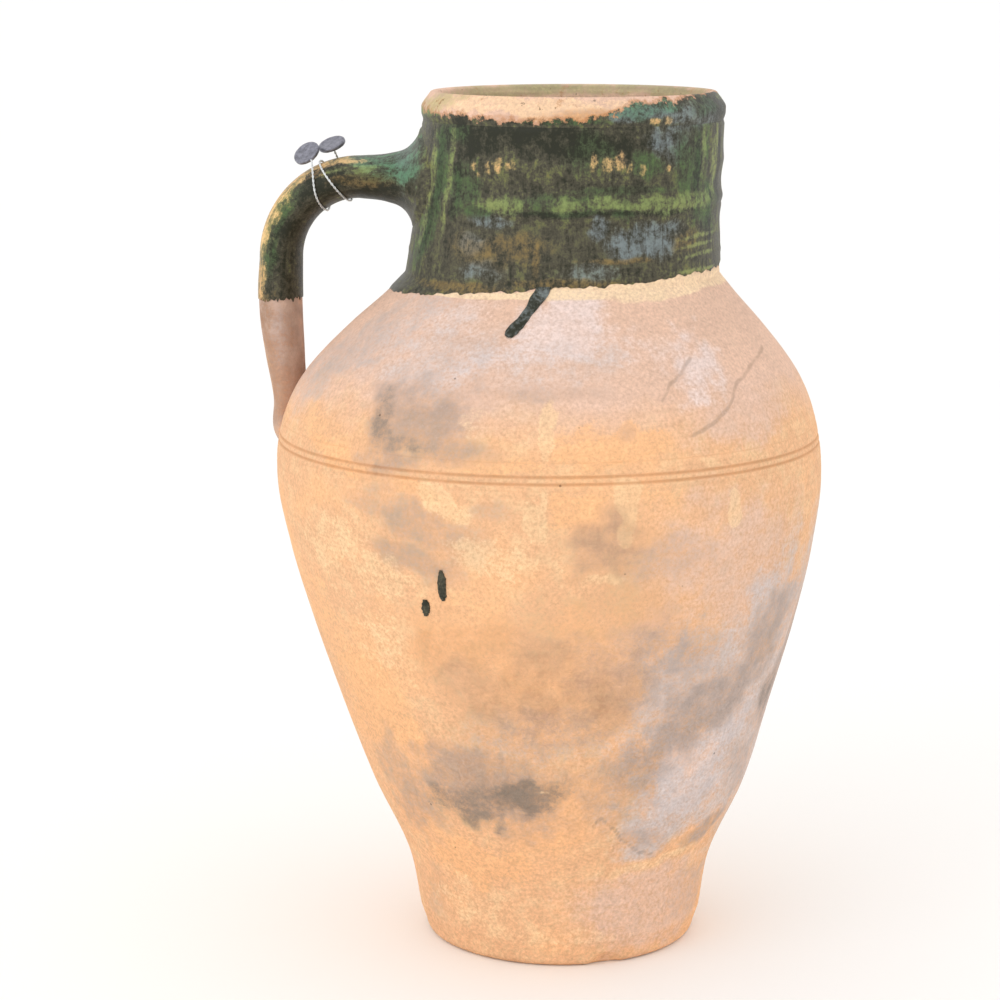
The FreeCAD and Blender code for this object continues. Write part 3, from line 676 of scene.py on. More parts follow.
class JarFinish(bpy.types.PropertyGroup):
    """Colours of clay, glaze and metal."""
    peach: shade("Peach", "Body of the fired clay", "#EEBB90")
    rose: shade("Rose", "Dusty pink of the shoulder", "#E2BFAB")
    flush: shade("Flush", "Orange flash of the kiln", "#F8BE8B")
    bloom: shade("Bloom", "Cream bloom of salts", "#F8D2A4")
    pale: shade("Pale", "Pale lilac dust", "#EAD5CE")
    cloud: shade("Cloud", "Grey-lilac fire cloud", "#CFC3C0")
    smoke: shade("Smoke", "Grey-brown smoke", "#A6948A")
    char: shade("Char", "Dark smudge of soot", "#736C62")
    slip: shade("Slip", "Cream slip under the glaze", "#F6D9B4")
    # This colour is also the painted shade in the incised lines.
    soil: shade("Soil", "Dirt in the incised lines", "#B57B4C")
    fissure: shade("Fissure", "Dirt in hairline cracks", "#85705F")
    olive: shade("Olive", "Body of the dark glaze", "#26281A")
    umber: shade("Umber", "Brown mottle of the glaze", "#4F4B3D")
    moss: shade("Moss", "Thin flecks of the glaze", "#6F7347")
    green: shade("Green", "Bright copper green", "#466239")
    # On the neck's ring this yellow-green is partly thin glaze on its crest and partly painted highlight.
    lime: shade("Lime", "Thin yellow-green glaze on ridges", "#8A965C")
    # This colour also serves as painted shade: in the groove of the neck's ring and on the handle's inner
    # side.
    soot: shade("Soot", "Thick, almost black glaze", "#28281E")
    slate: shade("Slate", "Blue-grey tarnish", "#788489")
    teal: shade("Teal", "Blue-green tarnish", "#5C8268")
    ochre: shade("Ochre", "Worn brown-gold glaze", "#806A40")
    # These spots are partly worn glaze and partly painted highlight, as along the handle's outer edge.
    glint: shade("Glint", "Worn cream and orange spots", "#DDB07A")
    lining: shade("Lining", "Yellow-green glaze inside", "#DCD0A0")
    lead: shade("Lead", "Dull lead", "#8A8A94")
    wire: shade("Wire", "Bright galvanised wire", "#E6E8E8")
    floor: shade("Floor", "Pale studio floor", "#FBFAF8")


class JarStage(bpy.types.PropertyGroup):
    """Camera and light."""
    distance: length("Distance", "Camera's level distance from the jar's axis", CAMERA_DISTANCE * MM)
    height: length("Height", "Camera's height above the floor", CAMERA_HEIGHT * MM)
    azimuth: bearing("Azimuth", "Camera's turn towards +X", CAMERA_AZIMUTH)
    pan: bearing("Pan", "Camera's turn to the left", CAMERA_PAN)
    pitch: bearing("Pitch", "Camera's turn down", CAMERA_PITCH)
    lens: FloatProperty(name="Lens", description="Focal length on a 36 mm sensor, in mm", default=LENS)
    sky: FloatProperty(name="Sky", description="Strength of the even white surround", default=1.07)
    key: FloatProperty(name="Key", description="Power of the soft key light", default=7.0, subtype="POWER")


def add(tree, kind, inputs=None, **settings):
    """Add a node, set its properties, and set or link inputs by number, or by name among those in use."""
    node = tree.nodes.new(kind)
    for name, value in settings.items():
        setattr(node, name, value)
    for name, value in (inputs or {}).items():
        if isinstance(value, bpy.types.Node):
            value = next(socket for socket in value.outputs if socket.enabled)
        if isinstance(name, str):
            socket = next(socket for socket in node.inputs if socket.enabled and socket.name == name)
        else:
            socket = node.inputs[name]
        if isinstance(value, bpy.types.NodeSocket):
            tree.links.new(value, socket)
        else:
            socket.default_value = value
    return node


def flowing(at, knots, values):
    """A smooth line through given points: cubic pieces whose slopes follow their neighbours."""
    knots = np.asarray(knots, float)
    values = np.asarray(values, float)
    slopes = np.gradient(values, knots)
    place = np.clip(np.searchsorted(knots, at, side="right") - 1, 0, len(knots) - 2)
    span = knots[place + 1] - knots[place]
    share = np.clip((at - knots[place]) / span, 0, 1)
    rest = 1 - share
    start = rest ** 2 * ((1 + 2 * share) * values[place] + share * span * slopes[place])
    end = share ** 2 * ((1 + 2 * rest) * values[place + 1] - rest * span * slopes[place + 1])
    return start + end


def body_stations():
    """Heights, radii and leans of the body's rings, from the slab's top to the neck's foot."""
    stations = []
    for rise, swell, lean in LOWER_SHARES:
        height = SLAB_TOP + rise * (BELLY_HEIGHT - SLAB_TOP)
        stations.append((height, FOOT_RADIUS + swell * (BELLY_RADIUS - FOOT_RADIUS), -lean * BELLY_LEAN))
    for rise, swell, lean in SHOULDER_SHARES:
        height = BELLY_HEIGHT + rise * (NECK_FOOT - BELLY_HEIGHT)
        radius = NECK_FOOT_RADIUS + swell * (BELLY_RADIUS - NECK_FOOT_RADIUS)
        stations.append((height, radius, NECK_FOOT_LEAN - lean * (BELLY_LEAN + NECK_FOOT_LEAN)))
    return np.array(stations).T


def neck_stations():
    """Heights, radii and leans of the neck's rings."""
    stations = []
    for rise, taper, ridge in NECK_SHARES:
        height = NECK_FOOT + rise * (LIP_FOOT - NECK_FOOT)
        radius = NECK_RADIUS + taper * (NECK_FOOT_RADIUS - NECK_RADIUS) + ridge
        stations.append((height, radius, NECK_FOOT_LEAN + rise * (LIP_LEAN - NECK_FOOT_LEAN)))
    return np.array(stations).T


BODY = body_stations()
NECK = neck_stations()


def bumps(height, rows):
    """Sum of rounded ridges or grooves, each given by its height, half width and rise."""
    height = np.asarray(height, float)
    return sum(rise * np.exp(-2 * ((height - place) / half) ** 2) for place, half, rise in rows)


def wall_radius(height):
    """Outer radius of body and neck, in one line from the slab's top to the lip's foot."""
    height = np.asarray(height, float)
    body = flowing(np.minimum(height, NECK_FOOT), BODY[0], BODY[1])
    neck = flowing(np.maximum(height, NECK_FOOT), NECK[0], NECK[1])
    lines = bumps(height, [(place, half, -depth) for place, half, depth in INCISED_LINES])
    return np.where(height < NECK_FOOT, body + lines, neck + bumps(height, NECK_RINGS))


def wall_lean(height):
    """Shift of the wall's middle along X."""
    height = np.asarray(height, float)
    body = flowing(np.minimum(height, NECK_FOOT), BODY[0], BODY[2])
    neck = flowing(np.maximum(height, NECK_FOOT), NECK[0], NECK[2])
    return np.where(height < NECK_FOOT, body, neck)


def inner_radius(height):
    """Inner radius of the body, one wall in, measured square to the slope."""
    height = np.asarray(height, float)
    below, here, above = (flowing(height + step, BODY[0], BODY[1]) for step in (-SLOPE_STEP, 0, SLOPE_STEP))
    return here - WALL * np.sqrt(1 + ((above - below) / (2 * SLOPE_STEP)) ** 2)


def neck_inner_radius(height):
    """Inner radius of the neck, from the shoulder's throat to the mouth."""
    share = (np.asarray(height, float) - NECK_FOOT) / (LIP_FOOT - NECK_FOOT)
    return inner_radius(NECK_FOOT) + share * (MOUTH_RADIUS - inner_radius(NECK_FOOT))


def new_tree(name, start, inputs, end):
    """A geometry tree with a geometry and named values coming in, and a geometry going out."""
    tree = bpy.data.node_groups.new(name, "GeometryNodeTree")
    tree.interface.new_socket(start, in_out="INPUT", socket_type="NodeSocketGeometry")
    for value, kind in inputs.items():
        tree.interface.new_socket(value, in_out="INPUT", socket_type=f"NodeSocket{kind}")
    tree.interface.new_socket(end, in_out="OUTPUT", socket_type="NodeSocketGeometry")
    return tree, add(tree, "NodeGroupInput").outputs


def thrown_wall_tree():
    """Geometry nodes that spin an outline of (radius, lean, height) points into a piece thrown by hand."""
    tree, entry = new_tree("thrown_wall", "Outline", {
        "Turns": "Int", "Hand Relief": "Float", "Hand Span": "Float", "Rill Depth": "Float",
        "Rill Spacing": "Float", "Seed": "Int", "Clay": "Material",
    }, "Thrown")
    points = add(tree, "GeometryNodeAttributeDomainSize", {0: entry["Outline"]}, component="MESH")
    rows = add(tree, "FunctionNodeIntegerMath", {0: points, 1: 1}, operation="ADD")
    columns = add(tree, "FunctionNodeIntegerMath", {0: entry["Turns"], 1: 1}, operation="ADD")
    grid = add(tree, "GeometryNodeMeshGrid", {"Vertices X": rows, "Vertices Y": columns})
    index = add(tree, "GeometryNodeInputIndex")
    line = add(tree, "FunctionNodeIntegerMath", {0: index, 1: columns}, operation="DIVIDE")
    looped = add(tree, "FunctionNodeIntegerMath", {0: line, 1: points}, operation="MODULO")
    column = add(tree, "FunctionNodeIntegerMath", {0: index, 1: columns}, operation="MODULO")
    place = add(tree, "GeometryNodeInputPosition")
    sampled = add(
        tree, "GeometryNodeSampleIndex", {"Geometry": entry["Outline"], "Value": place, "Index": looped},
        data_type="FLOAT_VECTOR",
    )
    parts = add(tree, "ShaderNodeSeparateXYZ", {0: sampled}).outputs
    share = add(tree, "ShaderNodeMath", {0: column, 1: entry["Turns"]}, operation="DIVIDE")
    angle = add(tree, "ShaderNodeMath", {0: share, 1: math.tau}, operation="MULTIPLY")
    cosine = add(tree, "ShaderNodeMath", {0: angle}, operation="COSINE")
    sine = add(tree, "ShaderNodeMath", {0: angle}, operation="SINE")
    drum = add(tree, "ShaderNodeCombineXYZ", {"X": cosine, "Y": sine})
    spot = add(tree, "ShaderNodeVectorMath", {0: drum, "Scale": NECK_RADIUS * MM}, operation="SCALE")
    rise = add(tree, "ShaderNodeCombineXYZ", {"Z": parts["Z"]})
    on_drum = add(tree, "ShaderNodeVectorMath", {0: spot, 1: rise}, operation="ADD")
    level = add(tree, "ShaderNodeVectorMath", {0: on_drum, 1: RILL_STRETCH}, operation="MULTIPLY")
    cut = parts["X"]
    for spots, span, detail, depth in (
        (on_drum, "Hand Span", HOLLOW_DETAIL, "Hand Relief"),
        (level, "Rill Spacing", RILL_DETAIL, "Rill Depth"),
    ):
        scale = add(tree, "ShaderNodeMath", {0: 1.0, 1: entry[span]}, operation="DIVIDE")
        hand = {"Vector": spots, "W": entry["Seed"], "Scale": scale, "Detail": detail}
        uneven = add(tree, "ShaderNodeTexNoise", hand, noise_dimensions="4D")
        taken = add(tree, "ShaderNodeMath", {0: uneven, 1: entry[depth]}, operation="MULTIPLY")
        cut = add(tree, "ShaderNodeMath", {0: cut, 1: taken}, operation="SUBTRACT")
    radius = add(tree, "ShaderNodeMath", {0: cut, 1: 0.0}, operation="MAXIMUM")
    reach = add(tree, "ShaderNodeVectorMath", {0: drum, "Scale": radius}, operation="SCALE")
    middle = add(tree, "ShaderNodeCombineXYZ", {"X": parts["Y"], "Z": parts["Z"]})
    spun = add(tree, "ShaderNodeVectorMath", {0: reach, 1: middle}, operation="ADD")
    placed = add(tree, "GeometryNodeSetPosition", {"Geometry": grid, "Position": spun})
    closed = add(tree, "GeometryNodeMergeByDistance", {"Geometry": placed, "Distance": CLOSED_GAP * MM})
    plain = add(tree, "GeometryNodeRealizeInstances", {"Geometry": closed})
    fired = add(tree, "GeometryNodeSetMaterial", {"Geometry": plain, "Material": entry["Clay"]})
    add(tree, "NodeGroupOutput", {0: fired})
    return tree


def from_nodes(name, points, edges, tree, values):
    """Run a geometry tree on points joined by edges and return the plain mesh that comes out."""
    source = bpy.data.meshes.new(f"{name}_source")
    source.from_pydata([list(point) for point in points], edges, [])
    obj = bpy.data.objects.new(name, source)
    bpy.context.scene.collection.objects.link(obj)
    modifier = obj.modifiers.new("shape", "NODES")
    modifier.node_group = tree
    for item in tree.interface.items_tree:
        if item.in_out == "INPUT" and item.name in values:
            modifier[item.identifier] = values[item.name]
    graph = bpy.context.evaluated_depsgraph_get()
    mesh = bpy.data.meshes.new_from_object(obj.evaluated_get(graph))
    obj.modifiers.remove(modifier)
    bpy.data.objects.remove(obj)
    bpy.data.meshes.remove(source)
    return mesh


def throw(context, name, outline, material, turns=None):
    """Spin a closed outline, given in millimetres as (radius, lean, height)."""
    form = context.scene.jar_form
    tree = bpy.data.node_groups.get("thrown_wall") or thrown_wall_tree()
    values = {
        "Turns": turns or form.turns,
        "Hand Relief": form.hand_relief,
        "Hand Span": form.hand_span,
        "Rill Depth": form.rill_depth,
        "Rill Spacing": form.rill_spacing,
        "Seed": form.seed,
        "Clay": material,
    }
    return from_nodes(name, np.asarray(outline, float) * MM, [], tree, values)


def section(heights, radii):
    """Outline points at heights and radii, with the wall's own lean."""
    return np.stack([np.asarray(radii, float), wall_lean(heights), np.asarray(heights, float)], axis=1)


def skin(name, rings, material, looped=False):
    """A closed mesh through rings of points in millimetres: looped end to end, or capped at its ends."""
    rings = np.asarray(rings, float) * MM
    rows, around = rings.shape[:2]
    index = np.arange(rows * around).reshape(rows, around)
    low = index if looped else index[:-1]
    high = np.roll(index, -1, axis=0) if looped else index[1:]
    faces = np.stack([low, np.roll(low, -1, 1), np.roll(high, -1, 1), high], axis=-1).reshape(-1, 4).tolist()
    if not looped:
        faces += [index[0].tolist(), index[-1].tolist()]
    mesh = bpy.data.meshes.new(name)
    mesh.from_pydata(rings.reshape(-1, 3).tolist(), [], faces)
    mesh.materials.append(material)
    return mesh


def places(mesh):
    """The mesh's points in millimetres."""
    flat = np.empty(len(mesh.vertices) * 3)
    mesh.vertices.foreach_get("co", flat)
    return flat.reshape(-1, 3) / MM


def soft_mask(side, rise, half_width, half_height, tilt):
    """1 inside an oval, 0 well outside it, and a soft slope between."""
    turn = math.radians(tilt)
    along = (side * math.cos(turn) + rise * math.sin(turn)) / half_width
    across = (rise * math.cos(turn) - side * math.sin(turn)) / half_height
    return np.clip(STAIN_CORE - STAIN_FALL * np.hypot(along, across), 0, 1)


def drift(points):
    """How stains drift at each point, sideways and up, as shares of their size: broad and fine noise."""
    noise.seed_set(DRIFT_SEED)
    moved = np.zeros((len(points), 2))
    for span, share in zip(DRIFT_SPANS, DRIFT_SHARES):
        spots = (points / span).tolist()
        clouds = [tuple(noise.turbulence_vector(spot, DRIFT_OCTAVES, False)) for spot in spots]
        moved += share * np.array(clouds)[:, ::2]
    return moved


def lay_stain(masks, shape, side, rise, moved):
    """Add a stain to the masks by its kind, half width, half height, tilt and strength."""
    kind, half_width, half_height, tilt, strength = shape
    reach = min(half_width, half_height, WIDEST_DRIFT) * STEADY_SHARES.get(kind, 1)
    uneven = soft_mask(side + reach * moved[:, 0], rise + reach * moved[:, 1], half_width, half_height, tilt)
    masks[kind] = np.maximum(masks.get(kind, 0), strength * uneven)


def round_jar(points):
    """Angle in degrees and height of points on the jar."""
    angles = np.degrees(np.arctan2(points[:, 1], points[:, 0] - wall_lean(points[:, 2])))
    return angles, points[:, 2]


def turned_from(angles, angle):
    """Degrees from an angle, the short way round."""
    return (angles - angle + 180) % 360 - 180


def seen_on_jar(across, down):
    """Angle and height of the jar's place at a pixel of the photo, and the size of a pixel there."""
    focal = LENS / SENSOR * PHOTO_SIZE
    pose = Euler((math.radians(90 - CAMERA_PITCH), 0, math.radians(CAMERA_AZIMUTH + CAMERA_PAN)))
    sight = Vector(((across - PHOTO_SIZE / 2) / focal, (PHOTO_SIZE / 2 - down) / focal, -1))
    turned = math.radians(CAMERA_AZIMUTH)
    eye = np.array((CAMERA_DISTANCE * math.sin(turned), -CAMERA_DISTANCE * math.cos(turned), CAMERA_HEIGHT))
    depths = np.arange(SIGHT_START, SIGHT_END, SIGHT_STEP)
    line = eye + depths[:, None] * np.array(pose.to_matrix() @ sight)
    on_jar = (line[:, 2] > 0) & (line[:, 2] < RIM_TOP)
    heights = np.clip(line[:, 2], SLAB_TOP, LIP_FOOT)
    gap = np.hypot(line[:, 0] - wall_lean(heights), line[:, 1]) - wall_radius(heights)
    gap = np.where(on_jar, gap, np.inf)
    first = int(np.argmax(gap <= 0)) if (gap <= 0).any() else int(np.argmin(gap))
    angle, height = (float(part[0]) for part in round_jar(line[first:first + 1]))
    return angle, height, depths[first] / focal


def on_jar_rows(seen, unseen):
    """One list of stains by angle and height, from those placed in the photo and those placed on the jar."""
    rows = [(kind, *numbers) for kind, stains in unseen.items() for numbers in stains]
    for kind, stains in seen.items():
        for across, down, half_width, half_height, tilt, strength in stains:
            angle, height, pixel = seen_on_jar(across, down)
            facing = max(math.cos(math.radians(angle + 90 - CAMERA_AZIMUTH)), LEAST_FACING)
            size = (half_width * pixel / facing, half_height * pixel)
            rows.append((kind, angle, height, *size, tilt, strength))
    return rows


CLAY_STAINS = on_jar_rows(CLAY_SEEN, CLAY_UNSEEN)
NECK_STAINS = on_jar_rows(NECK_SEEN, NECK_UNSEEN)
LIP_STAINS = on_jar_rows(LIP_SEEN, LIP_UNSEEN)
CRACKS = [[seen_on_jar(*spot)[:2] for spot in crack] for crack in CRACKS_SEEN]


def wall_masks(points, rows):
    """Masks, by kind, of stains given by angle and height."""
    angles, heights = round_jar(points)
    moved = drift(points)
    masks = {}
    for kind, angle, height, half_width, half_height, tilt, strength in rows:
        side = np.radians(turned_from(angles, angle)) * float(wall_radius(min(height, LIP_FOOT)))
        lay_stain(masks, (kind, half_width, half_height, tilt, strength), side, heights - height, moved)
    return masks


def clay_masks(points):
    """Masks of the clay's stains, of the painted shade in its incised lines and of its cracks."""
    masks = wall_masks(points, CLAY_STAINS)
    angles, heights = round_jar(points)
    # Painted shade in the incised lines, darker where they are deeper
    lines = [(place, half, min(1, LINE_SHADE * depth)) for place, half, depth in INCISED_LINES]
    masks["soil"] = np.maximum(masks["soil"], np.clip(bumps(heights, lines), 0, 1))
    nearest = np.full(len(points), CRACK_HALF_WIDTH)
    wander = CRACK_WANDER * drift(points)
    for crack in CRACKS:
        reach = float(wall_radius(crack[0][1]))
        for start, end in zip(crack, crack[1:]):
            side = np.radians(turned_from(angles, start[0])) * reach + wander[:, 0]
            run = np.array((math.radians(end[0] - start[0]) * reach, end[1] - start[1]))
            rise = heights - start[1] + wander[:, 1]
            share = np.clip((side * run[0] + rise * run[1]) / (run @ run), 0, 1)
            nearest = np.minimum(nearest, np.hypot(side - share * run[0], rise - share * run[1]))
    masks["fissure"] = 1 - nearest / CRACK_HALF_WIDTH
    return masks


def paint(mesh, masks):
    """Keep masks on the mesh as attributes that its material reads."""
    for kind, mask in masks.items():
        layer = mesh.attributes.new(kind, "FLOAT", "POINT")
        layer.data.foreach_set("value", mask.astype(np.float32))


def draw_out(mesh, spots):
    """Keep places whose last part runs along the glaze's streaks, in millimetres, for its material."""
    layer = mesh.attributes.new("drawn", "FLOAT_VECTOR", "POINT")
    layer.data.foreach_set("vector", (spots * (1, 1, STREAK_STRETCH) * MM).astype(np.float32).ravel())


def finish_piece(name, mesh, node, body):
    """Turn faces outwards, keep joint edges crisp, tie the piece to its body, and hide the node's CAD part.
    """
    shell = bmesh.new()
    shell.from_mesh(mesh)
    bmesh.ops.recalc_face_normals(shell, faces=shell.faces)
    shell.to_mesh(mesh)
    shell.free()
    mesh.shade_smooth()
    mesh.set_sharp_from_angle(angle=math.radians(CRISP_ANGLE))
    mesh.name = name
    piece = bpy.data.objects.new(name, mesh)
    bpy.context.scene.collection.objects.link(piece)
    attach(piece, body)
    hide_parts(node)
    return piece


def within(value, low, high, least, most):
    """Inputs of a node that moves a value from one range to another."""
    return {"Value": value, "From Min": low, "From Max": high, "To Min": least, "To Max": most}


def patterns(tree, spot, rows):
    """Uneven patterns of a surface, by name, from their rows of width, detail, roughness and distortion."""
    made = {}
    for name, (width, detail, roughness, distortion) in rows.items():
        made[name] = add(tree, "ShaderNodeTexNoise", {
            "Vector": spot, "Scale": 1 / (width * MM), "Detail": detail, "Roughness": roughness,
            "Distortion": distortion,
        })
    return made


def mingled(tree, value, made, shares, middle=0.0):
    """A pattern with shares of others added to it, each measured from a middle."""
    for name, share in shares.items():
        other = add(tree, "ShaderNodeMath", {0: made[name], 1: middle}, operation="SUBTRACT")
        value = add(tree, "ShaderNodeMath", {0: other, 1: share, 2: value}, operation="MULTIPLY_ADD")
    return value


def layered(tree, base, layers, finish, fray, broken, tone=None):
    """Lay stains, painted highlight and painted shade over a colour. Masks are frayed by one pattern, broken
    by another, and may take a tone.
    """
    centred = add(tree, "ShaderNodeMath", {0: fray, 1: PATTERN_MIDDLE}, operation="SUBTRACT")
    for kind, softness, frayed_by, strength in layers:
        mask = add(tree, "ShaderNodeAttribute", attribute_name=kind).outputs["Fac"]
        uneven = add(tree, "ShaderNodeMath", {0: centred, 1: frayed_by, 2: mask}, operation="MULTIPLY_ADD")
        soft = within(uneven, HALF_MASK - softness, HALF_MASK + softness, 0, strength)
        edge = add(tree, "ShaderNodeMapRange", soft, interpolation_type="SMOOTHSTEP")
        patchy = add(tree, "ShaderNodeMath", {0: edge, 1: broken}, operation="MULTIPLY")
        inside = add(tree, "ShaderNodeMapRange", within(mask, *STAIN_RANGE))
        shown = add(tree, "ShaderNodeMath", {0: patchy, 1: inside}, operation="MULTIPLY")
        colour = tuple(getattr(finish, kind))
        if tone:
            colour = add(tree, "ShaderNodeVectorMath", {0: colour[:3], "Scale": tone}, operation="SCALE")
        base = add(tree, "ShaderNodeMix", {"Factor": shown, "A": base, "B": colour}, data_type="RGBA")
    return base


def clay_look(tree, finish):
    """Fired earthenware: colour and relief of its stains, throwing lines, grain and crust, with painted shade
    in the incised lines.
    """
    spot = add(tree, "ShaderNodeTexCoord").outputs["Object"]
    level = add(tree, "ShaderNodeMapping", {"Vector": spot, "Scale": THROWING_STRETCH})
    made = {**patterns(tree, spot, CLAY_PATTERNS), **patterns(tree, level, THROWING_PATTERN)}
    height = add(tree, "ShaderNodeSeparateXYZ", {0: spot}).outputs["Z"]
    blotch = made["blotch"]
    lifted = add(tree, "ShaderNodeMath", {0: blotch, 1: PINK_LIFT * MM, 2: height}, operation="MULTIPLY_ADD")
    sunk = add(tree, "ShaderNodeMath", {0: blotch, 1: WORN_LIFT * MM, 2: height}, operation="MULTIPLY_ADD")
    fray = mingled(tree, made["fray"], made, CLAY_FRAY_SHARES, PATTERN_MIDDLE)
    shown = {}
    for name, value in (
        ("salts", made["fray"]), ("flash", blotch), ("pink", lifted), ("broken", fray), ("worn", sunk),
        ("dust", made["grain"]), ("lines", made["throwing"]), ("patch", blotch),
    ):
        shown[name] = add(tree, "ShaderNodeMapRange", within(value, *CLAY_RANGES[name]))

    colour = tuple(finish.peach)
    for name, kind in (("salts", "bloom"), ("flash", "flush"), ("pink", "rose")):
        mix = {"Factor": shown[name], "A": colour, "B": tuple(getattr(finish, kind))}
        colour = add(tree, "ShaderNodeMix", mix, data_type="RGBA")
    colour = layered(tree, colour, CLAY_LAYERS, finish, fray, shown["broken"])

    crust = add(tree, "ShaderNodeMath", {0: made["crust"], 1: CRUST_MIDDLE}, operation="SUBTRACT")
    wrinkle = add(tree, "ShaderNodeMath", {0: crust, 1: shown["worn"]}, operation="MULTIPLY")
    leather = add(tree, "ShaderNodeMath", {0: wrinkle, 1: CRUST_TINT, 2: 1.0}, operation="MULTIPLY_ADD")
    specks = add(tree, "ShaderNodeTexVoronoi", {"Vector": spot, "Scale": 1 / (SPECK_SPACING * MM)})
    speck = add(tree, "ShaderNodeMapRange", within(specks.outputs["Distance"], *CLAY_RANGES["speck"]))
    for factor in (shown["dust"], shown["lines"], shown["patch"], leather, speck):
        colour = add(tree, "ShaderNodeVectorMath", {0: colour, "Scale": factor}, operation="SCALE")

    made["wrinkle"] = wrinkle
    return colour, mingled(tree, made["grain"], made, CLAY_RELIEF_SHARES)


def glaze_look(tree, finish, tones):
    """Old lead glaze, thick to thin through its tones, tarnished in patches, with painted highlight and
    shade: colour, roughness and relief.
    """
    spot = add(tree, "ShaderNodeTexCoord").outputs["Object"]
    drawn = add(tree, "ShaderNodeAttribute", attribute_name="drawn").outputs["Vector"]
    made = {**patterns(tree, spot, CLOT_PATTERNS), **patterns(tree, drawn, STREAK_PATTERN)}
    uneven = mingled(tree, made["clots"], made, GLAZE_SHARES)
    thin = add(tree, "ShaderNodeMath", {0: uneven, 1: GLAZE_MIDDLE}, operation="SUBTRACT")
    for kind, shift in GLAZE_SHIFTS.items():
        mask = add(tree, "ShaderNodeAttribute", attribute_name=kind).outputs["Fac"]
        thin = add(tree, "ShaderNodeMath", {0: mask, 1: shift, 2: thin}, operation="MULTIPLY_ADD")
    ramp = add(tree, "ShaderNodeValToRGB", {"Fac": thin})
    steps = ramp.color_ramp.elements
    for stop in GLAZE_STOPS[1:-1]:
        steps.new(stop)
    for step, stop, kind in zip(steps, GLAZE_STOPS, tones):
        step.position, step.color = stop, getattr(finish, kind)

    fray = mingled(tree, made["clots"], made, GLAZE_FRAY_SHARES, PATTERN_MIDDLE)
    shown = {}
    for name, value in (("broken", fray), ("tone", thin), ("roughness", made["clots"])):
        shown[name] = add(tree, "ShaderNodeMapRange", within(value, *GLAZE_RANGES[name]))
    colour = layered(tree, ramp, GLAZE_LAYERS, finish, fray, shown["broken"], shown["tone"])
    return colour, shown["roughness"], uneven


def new_material(name):
    """A node material with nothing in it yet."""
    material = bpy.data.materials.new(name)
    material.use_nodes = True
    material.node_tree.nodes.clear()
    return material


def finish_material(material, inputs, relief=None, depth=0, strength=CERAMIC_RELIEF):
    """Give a material its one shader, with a relief that is so many millimetres deep."""
    tree = material.node_tree
    if relief:
        bump = {"Height": relief, "Strength": strength, "Distance": depth * MM}
        inputs["Normal"] = add(tree, "ShaderNodeBump", bump)
    surface = add(tree, "ShaderNodeBsdfPrincipled", inputs)
    add(tree, "ShaderNodeOutputMaterial", {"Surface": surface})
    return material


def fire(material, look, depth, specular):
    """Finish a ceramic from its colour, roughness and relief."""
    colour, roughness, relief = look
    shader = {
        "Base Color": colour, "Roughness": roughness, "IOR": CERAMIC_IOR, "Specular IOR Level": specular,
    }
    return finish_material(material, shader, relief, depth)


def flecked(tree, colour, row, span):
    """A plain colour made uneven by one fine pattern, and that pattern."""
    spot = add(tree, "ShaderNodeTexCoord").outputs["Object"]
    fleck = patterns(tree, spot, row)["fleck"]
    tone = add(tree, "ShaderNodeMapRange", within(fleck, *span))
    return add(tree, "ShaderNodeVectorMath", {0: tuple(colour)[:3], "Scale": tone}, operation="SCALE"), fleck


def earthenware(context):
    """Fired earthenware, thrown and left bare: matt, peach to pink, with smoke, salt bloom and painted shade
    in its incised lines.
    """
    found = bpy.data.materials.get("earthenware_thrown")
    if found:
        return found
    material = new_material("earthenware_thrown")
    colour, relief = clay_look(material.node_tree, context.scene.jar_finish)
    return fire(material, (colour, CLAY_ROUGHNESS, relief), CLAY_DEPTH, CLAY_SPECULAR)


def green_glaze(context):
    """Copper-green lead glaze, dipped and weathered: near black where thick, green where it ran thin, with
    painted highlight and shade in places.
    """
    found = bpy.data.materials.get("lead_glaze_green_dipped")
    if found:
        return found
    material = new_material("lead_glaze_green_dipped")
    look = glaze_look(material.node_tree, context.scene.jar_finish, GREEN_TONES)
    return fire(material, look, GLAZE_DEPTH, GREEN_SPECULAR)


def lining_glaze(context):
    """Clear lead glaze poured over the inside: yellow-green over the clay, with dark flecks."""
    material = new_material("lead_glaze_lining_poured")
    look = glaze_look(material.node_tree, context.scene.jar_finish, LINING_TONES)
    return fire(material, look, GLAZE_DEPTH, LINING_SPECULAR)


def glazed_rim(context):
    """The lip's clay under glaze that thins to rust and ends in a ragged line, each as it is elsewhere."""
    finish = context.scene.jar_finish
    material = new_material("earthenware_rim_half_glazed")
    tree = material.node_tree
    clay, clay_relief = clay_look(tree, finish)
    glaze, glaze_roughness, glaze_relief = glaze_look(tree, finish, GREEN_TONES)
    spot = add(tree, "ShaderNodeTexCoord").outputs["Object"]
    made = patterns(tree, spot, RIM_PATTERNS)
    mask = add(tree, "ShaderNodeAttribute", attribute_name="glazed").outputs["Fac"]
    reach = add(tree, "ShaderNodeMath", {0: made["fray"], 1: RIM_FRAY, 2: mask}, operation="MULTIPLY_ADD")
    colour = clay
    for name, value, over in (
        ("pits", made["pits"], tuple(finish.umber)),
        ("rust", reach, tuple(finish.soil)),
        ("glaze", reach, glaze),
    ):
        edge = add(tree, "ShaderNodeMapRange", within(value, *RIM_RANGES[name]))
        colour = add(tree, "ShaderNodeMix", {"Factor": edge, "A": colour, "B": over}, data_type="RGBA")
    roughness = add(tree, "ShaderNodeMix", {"Factor": edge, "A": CLAY_ROUGHNESS, "B": glaze_roughness})
    relief = add(tree, "ShaderNodeMix", {"Factor": edge, "A": clay_relief, "B": glaze_relief})
    return fire(material, (colour, roughness, relief), RIM_DEPTH, RIM_SPECULAR)


